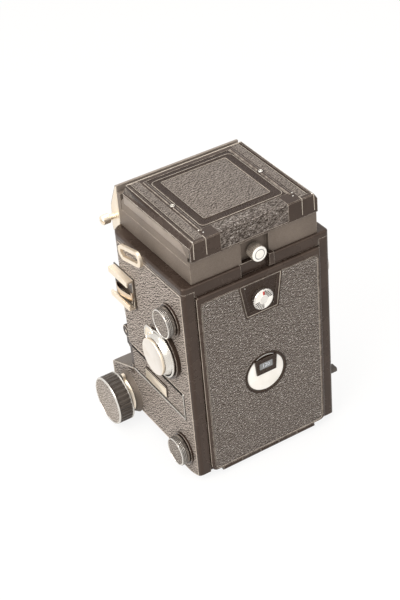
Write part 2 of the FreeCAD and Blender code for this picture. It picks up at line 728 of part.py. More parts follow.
def make_foot():
    """Foot plate with the tripod bush, and the floor plate of the focusing bed."""
    wide = d.footWidth / 2
    body = new_body("foot_plate")
    pad(body, "XY", [rounded(-wide, wide, d.footFront, d.footRear, 5)], 0, d.sideBottom)
    pocket(body, "XY", [("circle", 0, 0, d.bushRadius)], 0, d.bushDeep)
    keep("foot_plate", body)
    bush = new_body("tripod_bush")
    pad(bush, "XY", [("circle", 0, 0, d.bushRadius)], 0, d.bushDeep)
    pocket(bush, "XY", [("circle", 0, 0, d.tripodRadius)], 0, d.bushDeep - 1.5)
    keep("tripod_bush", bush)
    bed = new_body("bed_plate")
    pad(bed, "YZ", [[(bedFront + 1, d.bedFloor), (d.footFront, d.bedFloor),
                     (d.footFront, d.bedFloor + d.plateThick),
                     (bedFront + 1 + d.plateThick, d.bedFloor + d.plateThick),
                     (bedFront + 1 + d.plateThick, 21), (bedFront + 1, 21)]], -inner, inner)
    pocket(bed, "XZ", [("circle", releaseX, releaseZ, 3 + d.runningFit)], bedFront, bedFront + 1 + d.plateThick)
    keep("bed_plate", bed)


def make_lugs():
    """Strap lugs: flat loops pinned to the sides."""
    loops = []
    for side in (1, -1):
        body = new_body(side_name(side) + "_loop")
        pad(body, "YZ", [rounded(-13.5, 13.5, -4.9, 4.9, 4.7)], *span(side, 0, 2))
        pocket(body, "YZ", [rounded(-10.8, 10.8, -2.6, 2.6, 2.5)], *span(side, 0, 2))
        body.Placement.Rotation = FreeCAD.Rotation(FreeCAD.Vector(1, 0, 0), 14)
        for prop, size in (("x", side * half), ("y", -14), ("z", coverTop - 2.3)):
            bind(body, "Placement.Base." + prop, size)
        loops.append(body)
    keep("strap_lugs", fused("strap_lugs", loops))


def make_shoe():
    """Accessory shoe: channel with two inward lips and a stop at its rear end."""
    body = new_body("accessory_shoe")
    z0, z1 = d.shoeLow, d.shoeHigh
    plate, high, lip, reach = 1, 4.8, 1.2, 3.6
    x0 = half
    pad(body, "XY", [rect(x0, x0 + high, d.shoeFront, d.shoeRear)], z0, z1)
    pocket(body, "XZ", [[(x0 + plate, z0 + lip), (x0 + high - lip, z0 + lip), (x0 + high - lip, z0 + reach),
                         (x0 + high, z0 + reach), (x0 + high, z1 - reach), (x0 + high - lip, z1 - reach),
                         (x0 + high - lip, z1 - lip), (x0 + plate, z1 - lip)]], d.shoeFront, d.shoeRear - 1.4)
    keep("accessory_shoe", body)


# ---- focusing drive ------------------------------------------------------------------

PRESSURE_ANGLE = math.radians(20)


def involute(angle):
    return math.tan(angle) - angle


def tooth_space():
    """Outline of one space of the pinion, centred on the upward direction and open past the tips."""
    module, teeth = float(d.toothModule), float(d.pinionTeeth)
    pitch = module * teeth / 2
    base = pitch * math.cos(PRESSURE_ANGLE)
    root, tip = pitch - 1.25 * module, pitch + 1.06 * module
    radii = [root, base, pitch, tip]
    side = []
    for r in radii:
        at = math.acos(min(base / r, 1.0))
        tooth_half = math.pi / (2 * teeth) + involute(PRESSURE_ANGLE) - involute(at)
        space_half = math.pi / teeth - tooth_half
        side.append((r * math.sin(space_half), r * math.cos(space_half)))
    side.append((side[-1][0], tip + module))
    return side + [(-x, y) for x, y in reversed(side)]


def make_focus_shaft():
    """Shaft across the camera with a pinion near each side."""
    body = new_body("focus_shaft")
    end = d.focusKnobOuter - 3
    near_x, far_x = d.rackCentre - d.rackWidth / 2, d.rackCentre + d.rackWidth / 2
    pad(body, "YZ", [("circle", 0, 0, d.focusShaftRadius)], -end, end)
    for side in (1, -1):
        pad(body, "YZ", [("circle", 0, 0, pitchRadius + d.toothModule)], *span(side, near_x, far_x))
    space = pocket(body, "YZ", [tooth_space()], -far_x, far_x)
    repeat_round(body, space, "X", d.pinionTeeth)
    bind(body, "Placement.Base.y", d.focusAxisY)
    bind(body, "Placement.Base.z", d.focusAxisZ)
    keep("focus_shaft", body)


def make_racks():
    """Racks with their teeth down, one tooth straight above the shaft at rest."""
    pitch = math.pi * float(d.toothModule)
    line = d.focusAxisZ + pitchRadius
    slope = math.tan(PRESSURE_ANGLE)
    wide = pitch / 4 + float(d.backlash) / 2
    tip, root = line - d.toothModule, line + 1.25 * d.toothModule
    room = float(d.rackRear - d.focusAxisY) - 0.8
    first = math.floor(room / pitch - 0.5)
    count = first + 4
    start = d.focusAxisY + pitch * (first + 0.5)
    spread = wide + float(d.toothModule) * slope
    tight = wide - 1.25 * float(d.toothModule) * slope
    racks = []
    for side in (1, -1):
        body = new_body(side_name(side) + "_rack")
        xs = span(side, d.rackCentre - d.rackWidth / 2, d.rackCentre + d.rackWidth / 2)
        pad(body, "YZ", [rect(rackFront, d.rackRear, tip, d.rackHigh)], *xs)
        space = pocket(body, "YZ", [[(start - spread, tip), (start + spread, tip),
                                     (start + tight, root), (start - tight, root)]], *xs)
        pattern = body.newObject("PartDesign::LinearPattern", "LinearPattern")
        pattern.Originals = [space]
        pattern.Direction = (origin_feature(body, "Y_Axis"), [""])
        pattern.Reversed = True
        pattern.Length = pitch * (count - 1)
        pattern.Occurrences = count
        body.Tip = pattern
        racks.append(body)
    keep("focus_racks", fused("focus_racks", racks))


def make_focus_knob(side):
    """Fluted knob with a shallow recess in its face."""
    name = "focus_knob_" + side_name(side)
    xi, xo, r = d.focusKnobInner, d.focusKnobOuter, d.focusKnobRadius
    shaft = d.focusShaftRadius
    profile = [(xi, shaft), (xo - 3, shaft), (xo - 3, 0), (xo - 0.6, 0), (xo - 0.6, r - 1.7),
               (xo, r - 1.7), (xo, r - 0.9), (xo - 0.9, r), (xi + 1, r), (xi, r - 1)]
    if side < 0:
        profile = [(-as_size(p[0]), p[1]) for p in profile]
    body = turned(name, "X", profile, y=d.focusAxisY, z=d.focusAxisZ)
    flute = pocket(body, "YZ", [[(r - 0.6, -0.4), (r + 0.3, -1.1), (r + 0.3, 1.1), (r - 0.6, 0.4)]],
                   *span(side, xi + 1.4, xo - 1.8))
    repeat_round(body, flute, "X", d.focusFlutes)


def make_focus_bosses():
    """Cones on both sides with a neck; the locking lever turns on the left one."""
    r, bore = d.bossRadius, d.focusShaftRadius + 0.2
    cones = []
    for side in (1, -1):
        profile = [(half, bore), (half + 6, bore), (half + 6, 4), (half + 3.2, 4), (half + 3.2, r - 2), (half, r)]
        if side < 0:
            profile = [(-as_size(p[0]), p[1]) for p in profile]
        cones.append(turned_piece(side_name(side) + "_cone", "X", profile, y=d.focusAxisY, z=d.focusAxisZ))
    keep("focus_bosses", fused("focus_bosses", cones))


def make_focus_lock():
    x0, x1 = half + 3.35, half + 5.4
    body = turned("focus_lock_lever", "X", [(x0, 4 + d.runningFit), (x1, 4 + d.runningFit), (x1, 11), (x0, 11.8)],
                  y=d.focusAxisY, z=d.focusAxisZ)
    pad(body, "YZ", [rounded(-1.9, 1.9, 9, 15.2, 1.4)], x0, x1)


# ---- front standard and lenses -------------------------------------------------------

def make_standard():
    """Sliding frame that carries the lens board and the racks."""
    body = new_body("front_standard")
    wide = d.standardWidth / 2
    face = d.standardRear - d.standardThick
    pad(body, "XZ", [rounded(-wide, wide, d.standardLow, d.standardHigh, 3)], face, d.standardRear)
    for side in (1, -1):
        x0, x1 = span(side, d.rackCentre - d.rackWidth / 2, d.rackCentre + d.rackWidth / 2)
        pad(body, "XZ", [rect(x0, x1, d.rackHigh - 5.4, d.standardLow + 2)], face, rackFront)
    gap = d.bellowsHalf - d.bellowsFold - 3
    pocket(body, "XZ", [rect(-gap, gap, lensLow - gap + 2, lensLow + gap - 2)], face, d.standardRear)
    pocket(body, "XZ", [("circle", 0, lensHigh, 12.6)], face, d.standardRear)
    for side in (1, -1):
        pocket(body, "YZ", [("circle", bailY, bailZ, 0.8 + d.runningFit)], *span(side, wide - 3, wide))
    keep("front_standard", body)


def make_lens_board():
    body = new_body("lens_board")
    face = d.standardRear - d.standardThick
    pad(body, "XZ", [rounded(-34, 34, d.standardLow + 2, d.standardHigh - 2, 2.5)], boardFront, face)
    pocket(body, "XZ", [("circle", 0, lensLow, 15)], boardFront, face)
    pocket(body, "XZ", [("circle", 0, lensHigh, 12.2)], boardFront, face)
    keep("lens_board", body)


def make_bail():
    """Spring wire that holds the lens board against the standard."""
    y0, z0 = float(bailY), float(bailZ)
    y1, z1 = float(boardFront) - 1.2, float(lensLow) + 26.45
    x0, x1 = float(d.standardWidth) / 2 - 2.3, float(d.standardWidth) / 2 + 1.7
    corners = [(x0, y0, z0), (x1, y0, z0), (x1, y1, z1), (-x1, y1, z1), (-x1, y0, z0), (-x0, y0, z0)]
    wire = rounded_path([FreeCAD.Vector(*c) for c in corners], 1.8)
    angles = [math.radians(60 * i) for i in range(7)]
    ring = [FreeCAD.Vector(x0, y0 + 0.85 * math.cos(a), z0 + 0.85 * math.sin(a)) for a in angles]
    feature = doc.addObject("Part::Feature", "lens_bail")
    feature.Shape = wire.makePipe(Part.Face(Part.makePolygon(ring)))
    keep("lens_bail", feature)


def rounded_path(points, radius):
    """Wire of straight runs joined by tangent arcs."""
    edges = []
    last = points[0]
    for before, corner, after in zip(points, points[1:], points[2:]):
        into = (corner - before).normalize()
        out = (after - corner).normalize()
        turn = into.getAngle(out)
        reach = radius * math.tan(turn / 2)
        start, end = corner - into * reach, corner + out * reach
        centre_way = (out - into).normalize()
        centre = corner + centre_way * (radius / math.cos(turn / 2))
        middle = centre - centre_way * radius
        edges.append(Part.makeLine(last, start))
        edges.append(Part.Arc(start, middle, end).toShape())
        last = end
    edges.append(Part.makeLine(last, points[-1]))
    return Part.Wire(edges)


def make_bellows():
    """Square pleated tube; each fold goes out and back in."""
    folds = int(float(d.bellowsFolds))
    y0, y1 = float(d.standardRear), float(front)
    big, deep, wall = float(d.bellowsHalf), float(d.bellowsFold), float(d.bellowsWall)
    rings = []
    for i in range(2 * folds + 1):
        y = y0 + (y1 - y0) * i / (2 * folds)
        out = big - (deep if i % 2 == 0 else 0)
        rings.append((square_ring(y, out), square_ring(y, out - wall)))
    faces = []
    for (outer_a, inner_a), (outer_b, inner_b) in zip(rings, rings[1:]):
        for a, b in ((outer_a, outer_b), (inner_a, inner_b)):
            faces += [flat_face(a[i], a[(i + 1) % 4], b[(i + 1) % 4], b[i]) for i in range(4)]
    for outer, hollow in (rings[0], rings[-1]):
        faces += [flat_face(outer[i], outer[(i + 1) % 4], hollow[(i + 1) % 4], hollow[i]) for i in range(4)]
    solid = Part.Solid(Part.Shell(faces))
    if solid.Volume < 0:
        solid.reverse()
    feature = doc.addObject("Part::Feature", "bellows")
    feature.Shape = solid
    keep("bellows", feature)


def square_ring(y, size):
    z = float(lensLow)
    return [FreeCAD.Vector(a * size, y, z + b * size) for a, b in ((-1, -1), (1, -1), (1, 1), (-1, 1))]


def flat_face(*points):
    return Part.Face(Part.makePolygon(list(points) + [points[0]]))


def barrel_profile(start, rim, hole):
    """Half section of a front barrel with its filter thread and glass seat."""
    tip = d.lensFront
    g = d.glassRadius
    return [(start, rim), (tip + 0.5, rim), (tip, rim - 0.5), (tip, filterRadius), (tip + 2.4, filterRadius),
            (tip + 2.4, 19), (tip + 3.4, g + 1.2), (tip + 4, g), (tip + 5.6, g), (tip + 5.6, hole),
            (start, hole)]


def make_taking_lens():
    """Leaf shutter with its control ring, and the barrel in front of it."""
    b = boardFront
    neck = 21.9
    hold = d.standardRear - d.standardThick
    turned("taking_shutter", "Y", [(b, 15), (b, neck), (b - 4.2, neck), (b - 4.2, 9), (b + 12, 9),
                                   (b + 12, 12), (hold + 1.5, 14.9), (hold, 15)], z=lensLow)
    make_speed_ring(b, neck)
    turned("taking_barrel", "Y", barrel_profile(b - 4.2, d.barrelRadius + 1.1, 13), z=lensLow)


def make_speed_ring(b, neck):
    """Setting ring round the shutter with a tab to turn it by."""
    inside = neck + d.runningFit
    body = turned("speed_ring", "Y", [(b - 0.4, inside), (b - 4, inside), (b - 4, d.shutterRadius - 0.5),
                                      (b - 3.5, d.shutterRadius), (b - 0.9, d.shutterRadius),
                                      (b - 0.4, d.shutterRadius - 0.5)], z=lensLow)
    pad(body, "XZ", [rounded(d.shutterRadius - 1, d.shutterRadius + 4.5, -2.4, 2.4, 1)], b - 3, b - 1.4)
    return body


def make_viewing_lens():
    b = boardFront
    rim = d.barrelRadius + 1.1
    profile = barrel_profile(b, rim, 9)
    profile[-1:] = [(b + 9, 9), (b + 9, 12.2), (b, 12.2)]
    turned("viewing_barrel", "Y", profile, z=lensHigh)


def make_glasses():
    """Front elements of both lenses."""
    seat, g = d.lensFront + 5.6, d.glassRadius
    panes = [turned_piece(name, "Y", [(seat, 0), (seat, g), (seat - 1, g, dome(g, 1.2)), (seat - 2.2, 0)], z=z)
             for name, z in (("taking_glass", lensLow), ("viewing_glass", lensHigh))]
    keep("front_glasses", fused("front_glasses", panes))


# ---- back door -----------------------------------------------------------------------

def make_door():
    body = new_body("back_door")
    wide = d.doorWidth / 2
    low, high = d.doorLow, d.doorHigh
    inside = doorSeat + d.doorGap
    pad(body, "XZ", [[(-wide + 4, low), (wide - 4, low, 4), (wide, low + 4), (wide, high - 1), (wide - 1, high),
                      (-wide + 1, high), (-wide, high - 1), (-wide, low + 4, 4)]], inside, d.doorOuter)
    dress(body, "Fillet", d.edgeRound, lambda e: near(e, y=d.doorOuter))
    bay = d.bayWidth / 2 - 0.5
    pocket(body, "XZ", [rect(-bay, bay, low + 3, high - 6.5)], inside, d.doorOuter - 1.8)
    pocket(body, "XZ", [door_covering()], d.doorOuter - d.leatherThick, d.doorOuter)
    pocket(body, "XZ", [("circle", 0, d.dialCentreZ, 1.5 + d.runningFit)], d.doorOuter - 1.8, d.doorOuter)
    for x0, x1 in knuckles(True):
        pad(body, "YZ", [("circle", d.hingeY, d.hingeZ, d.hingeRadius)], x0, x1)
        pad(body, "YZ", [rect(d.hingeY, d.hingeY + d.hingeRadius, d.hingeZ, low + 0.5)], x0, x1)
    pocket(body, "YZ", [("circle", d.hingeY, d.hingeZ, d.hingePinRadius + d.runningFit)], -wide, wide)
    return keep("back_door", body)


def door_covering():
    """Outline of the sheet let into the door."""
    wide = d.doorWidth / 2 - d.doorRim
    low, high = d.doorLow + 1.4, d.doorHigh - 4.4
    return [(-wide + 3, low), (wide - 3, low, 3), (wide, low + 3), (wide, high), (-wide, high),
            (-wide, low + 3, 3)]


def recess_outline(inset):
    """Outline of the plate round the reminder dial, wider at the top."""
    top, bottom = d.dialCentreZ + 12.6, d.dialCentreZ - 9.2
    return [(-10.1 + inset, bottom + inset), (10.1 - inset, bottom + inset),
            (13.5 - inset, top - inset / 2), (-13.5 + inset, top - inset / 2)]


def make_door_fittings():
    outer = d.doorOuter
    back = outer - d.leatherThick
    leather = new_body("door_leather")
    pad(leather, "XZ", [door_covering()], back, outer - 0.05)
    pocket(leather, "XZ", [recess_outline(0)], back, outer)
    pocket(leather, "XZ", [("circle", 0, d.windowCentreZ, d.windowRadius + 2.4)], back, outer)
    keep("door_leather", leather)
    plate = new_body("recess_plate")
    pad(plate, "XZ", [recess_outline(0.05)], back, outer)
    pocket(plate, "XZ", [recess_outline(2)], back + 0.2, outer)
    pocket(plate, "XZ", [("circle", 0, d.dialCentreZ, 1.5 + d.runningFit)], back, outer)
    floor = back + 0.3
    turned("reminder_dial", "Y", [(back - 1, 0), (floor + 3.1, 0), (floor + 3.1, d.dialRadius - 0.8),
                                  (floor + 2.4, d.dialRadius), (floor, d.dialRadius), (floor, 1.5), (back - 1, 1.5)],
           z=d.dialCentreZ)
    r = d.windowRadius
    turned("window_disc", "Y", [(back, 0), (outer - 0.1, 0), (outer - 0.1, r - 0.4), (outer - 0.4, r),
                                (back + 0.1, r), (back + 0.1, r + 1), (outer + 0.1, r + 1), (outer + 0.1, r + 2.3),
                                (back, r + 2.3)], z=d.windowCentreZ)
    middle = d.windowCentreZ + 5.8
    frame = new_body("window_frame")
    pad(frame, "XZ", [[(-6.6, middle - 5.3), (6.6, middle - 5.3), (7.6, middle + 5.3), (-7.6, middle + 5.3)]],
        outer - 0.1, outer + 0.9)
    pocket(frame, "XZ", [rounded(-4.7, 4.7, middle - 2.5, middle + 2.5, 0.8)], outer + 0.3, outer + 0.9)
    keep("door_trim", gathered("door_trim", [plate, frame]))


def knuckles(on_door):
    """X ranges of the hinge knuckles: the door's between the body's."""
    pitch = d.bayWidth / 5
    ranges = [(-2.5 * pitch + pitch * i + 0.15, -1.5 * pitch + pitch * i - 0.15) for i in range(5)]
    return ranges[1::2] if on_door else ranges[0::2]


def make_door_hinge():
    """Body knuckles and pin of the door hinge."""
    body = new_body("door_hinge_leaf")
    for x0, x1 in knuckles(False):
        pad(body, "YZ", [("circle", d.hingeY, d.hingeZ, d.hingeRadius)], x0, x1)
        pad(body, "YZ", [rect(doorSeat, d.hingeY, d.hingeZ - 0.2, d.hingeZ + 0.9)], x0, x1)
    wide = d.bayWidth / 2
    pad(body, "YZ", [rect(doorSeat, doorSeat + 0.25, d.hingeZ + 0.4, d.hingeZ + 6)], -wide, wide)
    pad(body, "YZ", [("circle", d.hingeY, d.hingeZ, d.hingePinRadius)], -wide, wide)
    keep("door_hinge_leaf", body)


def make_pressure_plate():
    wide, rise = d.bayWidth / 2 - 1.5, d.gateSize / 2 + 4
    body = new_body("pressure_plate")
    y0 = filmY + 0.5
    pad(body, "XZ", [rounded(-wide, wide, lensLow - rise, lensLow + rise, 2)], y0, y0 + 1.2)
    for z in (lensLow - rise / 2, lensLow + rise / 2):
        pad(body, "XZ", [rect(-wide + 6, wide - 6, z - 3, z + 3)], y0 + 1.1, y0 + 2)
    pad(body, "XZ", [rect(-wide + 6, wide - 6, lensLow - 6, lensLow + 6)], y0 + 1.1, y0 + 2)
    keep("pressure_plate", body)
    ends = d.doorOuter - 1.8
    leaves = []
    for side in (1, -1):
        x = side * (wide - 12)
        z = lensLow
        leaves.append(piece("leaf", "YZ", [[
            (ends, z - 20), (y0 + 2, z - 6), (y0 + 2, z + 6), (ends, z + 20), (ends, z + 18.6),
            (y0 + 2.3, z + 5.8), (y0 + 2.3, z - 5.8), (ends, z - 18.6)]], x - 4, x + 4))
    keep("pressure_springs", fused("pressure_springs", leaves))


def make_catch():
    """Sliding catch at the top of the door."""
    body = new_body("door_catch")
    y0 = rear - 1.6
    pad(body, "XZ", [rect(-10.6, -7.4, d.doorHigh + 1.5, d.bodyTop + 1.4)], y0 + 0.1, rear + 1.2)
    pad(body, "XZ", [rect(-10.6, -7.4, d.doorHigh + 0.6, d.doorHigh + 2)], y0 + 0.1, rear + 0.2)
    keep("door_catch", body)


# ---- knobs, crank and film spool -----------------------------------------------------

def make_spool():
    """Take-up spool: each end has a hole for a pin and a slot for the driving key."""
    body = turned("takeup_spool", "X",
                  [(-spoolHalf, 0), (spoolHalf, 0), (spoolHalf, 12.5), (spoolHalf - 0.8, 12.5),
                   (spoolHalf - 0.8, 6), (-spoolHalf + 0.8, 6), (-spoolHalf + 0.8, 12.5), (-spoolHalf, 12.5)],
                  y=spoolY, z=spoolHigh)
    for side in (1, -1):
        for shape in (rect(-4.6, 4.6, -keyHalf - 0.2, keyHalf + 0.2), ("circle", 0, 0, pinRadius)):
            pocket(body, "YZ", [shape], *span(side, spoolHalf - 3.6, spoolHalf))


def make_spool_knobs():
    """Knobs that pull out to free a spool; the pin on the shaft's end turns in the spool."""
    for name, z in (("lower", spoolLow), ("upper", spoolHigh)):
        tip, r = d.bayWidth / 2, d.spoolKnobRadius
        x0, x1 = half + 1.8, d.spoolKnobOuter
        rings = []
        for i in range(3):
            at = x1 - 1.5 - 1.1 * i
            rings += [(at, r), (at - 0.3, r - 0.4), (at - 0.6, r)]
        body = turned("spool_knob_" + name, "X",
                      [(tip, 0), (x1 - 0.4, 0), (x1 - 0.4, r - 1.5), (x1, r - 1.4), (x1, r - 0.6), (x1 - 0.6, r)]
                      + rings + [(x0 + 0.4, r), (x0, r - 0.4), (x0, axleRadius), (tip, axleRadius)],
                      y=spoolY, z=z)
        pad(body, "YZ", [("circle", 0, 0, pinRadius - d.runningFit)], spoolHalf - 3, tip + 0.5)


def make_crank():
    """Winding crank with its handle on a pin."""
    x0 = half
    axle = turned("crank", "X",
                  [(-x0 - 3.2, 0), (-d.bayWidth / 2, 0), (-d.bayWidth / 2, axleRadius),
                   (-inner - 0.3, axleRadius), (-inner - 0.3, crankAxle), (-x0 - 0.3, crankAxle), (-x0 - 0.3, 10.6),
                   (-x0 - 0.8, 11), (-x0 - 3.2, 11)], y=spoolY, z=spoolHigh)
    pad(axle, "YZ", [rect(-3.2, 3.2, -keyHalf, keyHalf)], -d.bayWidth / 2 - 0.5, -spoolHalf + 3)
    pad(axle, "YZ", [rounded(-d.crankReach - 4.5, 6, -4.5, 4.5, 4.4)], -x0 - 5.7, -x0 - 3.1)
    pad(axle, "YZ", [("circle", -d.crankReach, 0, 1.5)], -x0 - 16, -x0 - 5.6)
    turned("crank_handle", "X",
           [(-x0 - 18, 0), (-x0 - 16.2, 0), (-x0 - 16.2, 1.5 + d.runningFit), (-x0 - 6, 1.5 + d.runningFit),
            (-x0 - 6, 3.6), (-x0 - 8, 4.3), (-x0 - 16.8, 4.5), (-x0 - 18, 3.4)],
           y=spoolY - d.crankReach, z=spoolHigh)


def make_lock_dial():
    """Lens lock dial with a raised thumb lobe."""
    x0, r = half + 3, d.lockDialRadius
    body = turned("lens_lock_dial", "X",
                  [(half - dialShaftReach, 0), (x0 + 5.4, 0), (x0 + 5.4, r - 3.2), (x0 + 4.8, r - 2.2),
                   (x0 + 1.6, r - 2), (x0 + 1.5, r - 0.3), (x0 + 1.2, r), (x0, r), (x0, dialShaft),
                   (half - dialShaftReach, dialShaft)],
                  y=d.lockDialY, z=d.lockDialZ)
    pad(body, "YZ", [("circle", -9.8, 7.3, 7.3)], x0 + 0.8, x0 + 5.4)
    pocket(body, "YZ", [("circle", -9.3, 8.3, 0.8)], x0 + 3, x0 + 5.4)


def make_exposure_lever():
    """Small lever low on the right side."""
    x0 = half + 0.3
    body = turned("multi_exposure_lever", "X",
                  [(-x0 - 2.2, 0), (-half + 7.5, 0), (-half + 7.5, 1.5), (-x0, 1.5), (-x0, 3.2), (-x0 - 2.2, 3.2)],
                  y=pivotY, z=pivotZ)
    pad(body, "YZ", [rounded(-1.5, 4.2, -1.6, 1.6, 1)], -x0 - 5.7, -x0 - 1)


def make_release_button():
    """Shutter release on the front of the bed, held by a collar behind the plate."""
    face = bedFront + 1
    turned("release_button", "Y",
           [(face - 3, 0), (face - 3, 2.6), (face - 2.6, 3), (face + d.plateThick + 0.1, 3),
            (face + d.plateThick + 0.1, 4.2), (face + d.plateThick + 1.4, 4.2), (face + d.plateThick + 1.4, 0)],
           x=releaseX, z=releaseZ)


# ---- finder block and hood -----------------------------------------------------------

def make_finder_block():
    """Slanted block above the viewing lens with the screen clamp on its left."""
    body = new_body("finder_block")
    low, high = coverTop - 6, ceiling - 0.6
    pad(body, "YZ", [[(front, low), (front - 10.5, low), (front - 11, low + 3.5), (front - 9.6, d.bodyTop + 8.7),
                      (front - 1.4, high - 0.4), (front - 0.6, high), (front + 0.8, high),
                      (front + 0.8, d.bodyTop + 0.3), (front, d.bodyTop + 0.3)]], -blockHalf, blockHalf)
    pocket(body, "YZ", [("circle", clampY, clampZ, 1.2 + d.runningFit)], blockHalf - 5, blockHalf)
    keep("finder_block", body)
    x0 = blockHalf + 0.3
    knob = turned("screen_clamp_knob", "X",
                  [(blockHalf - 4.5, 0), (x0 + 9, 0), (x0 + 9, 2.4), (x0 + 8.4, 3), (x0 + 4, 3), (x0 + 3.4, 2.2),
                   (x0 + 3.4, 1.8), (x0, 1.8), (x0, 1.2), (blockHalf - 4.5, 1.2)], y=clampY, z=clampZ)
    pocket(knob, "YZ", [rect(-3.5, 3.5, -0.35, 0.35)], x0 + 8.2, x0 + 9)


def make_hood_base():
    """Frame round the focusing screen with the lid's hinge ears in front."""
    body = new_body("hood_base")
    wide = d.hoodHalf
    pad(body, "XY", [rect(-wide, wide, d.hoodFront, d.hoodRear)], d.bodyTop, d.hoodBaseHigh)
    pad(body, "XY", [rect(-wide, wide, d.hoodFront, d.hoodFront + 3.3)], d.hoodBaseHigh - 1, d.lidHingeZ - 2.4)
    pad(body, "XY", [rect(-wide, wide, d.hoodRear - 1.4, d.hoodRear)], d.hoodBaseHigh - 1, d.hoodBaseHigh + 2.9)
    pocket(body, "XY", [rect(-hoodOpenHalf, hoodOpenHalf, d.hoodFront + 4.9, d.hoodRear - 6.3)],
           d.bodyTop, d.hoodBaseHigh)
    for side in (1, -1):
        x0, x1 = span(side, 20.3, 26)
        pad(body, "YZ", [[(d.lidHingeY - 1.8, d.lidHingeZ - 4.4), (d.lidHingeY + 1.4, d.lidHingeZ - 2.4),
                          (d.lidHingeY + 1.8, d.lidHingeZ),
                          (d.lidHingeY - 1.8, d.lidHingeZ)], ], x0, x1)
        pad(body, "YZ", [("circle", d.lidHingeY, d.lidHingeZ, 1.9)], x0, x1)
        x2, x3 = span(side, 11.6, 20.4)
        pad(body, "YZ", [("circle", d.lidHingeY, d.lidHingeZ, 1)], x2, x3)
        x4, x5 = span(side, flapHalf + 0.3, flapHalf + 3)
        pad(body, "YZ", [rect(flapY - 1.4, d.hoodRear - 1, d.hoodBaseHigh - 1, flapZ + 1.4)], x4, x5)
        pocket(body, "YZ", [("circle", flapY, flapZ, 0.7 + d.runningFit)], x4, x5)
    notch = 9.2
    pocket(body, "XZ", [rect(-notch, notch, d.bodyTop, d.hoodBaseHigh + 1.5)], d.hoodRear - 3, d.hoodRear)
    pocket(body, "XZ", [("circle", 0, knobZ, 1.6 + d.runningFit)], d.hoodRear - 6.3, d.hoodRear - 3)
    keep("hood_base", gathered("hood_base", [body] + hood_walls()))


def make_hood_knob():
    y0 = d.hoodRear - 2.3
    body = turned("hood_clamp_knob", "Y",
                  [(y0 - 3.5, 0), (y0 - 3.5, 1.6), (y0, 1.6), (y0, 4.5), (y0 + 0.3, 4.85), (y0 + 6.3, 4.85),
                   (y0 + 6.6, 4.5), (y0 + 6.6, 4.2), (y0 + 7.2, 4.2), (y0 + 7.5, 3.9), (y0 + 7.5, 0)], z=knobZ)
    groove = pocket(body, "XZ", [notch_at(4.85, 0.4, 0.9)], y0 + 0.8, y0 + 5.8)
    repeat_round(body, groove, "Y", 12)


def hood_walls():
    """Side walls of the hood, standing on its base."""
    plates = []
    for side in (1, -1):
        x0, x1 = span(side, d.hoodHalf - 1.4, d.hoodHalf - 0.2)
        z0, z1 = d.hoodBaseHigh, d.hoodSideHigh
        plates.append(piece(side_name(side) + "_wall", "YZ", [[
            (-34, z0), (38, z0), (38, z1 - 5), (33, z1), (-29, z1), (-34, z1 - 5)]], x0, x1))
    return plates


def lid_top(y):
    slope = (d.lidHighFront - d.lidHighRear) / (d.lidRear - d.lidFront)
    return d.lidHighFront - (y - d.lidFront) * slope


def lid_band(y0, y1, low, high):
    """Outline along the lid's slope; high is an offset as low is, or a level over the lid."""
    top = [(y1, high), (y0, high)] if high is lidAbove else [(y1, lid_top(y1) + high), (y0, lid_top(y0) + high)]
    return [(y0, lid_top(y0) + low), (y1, lid_top(y1) + low)] + top


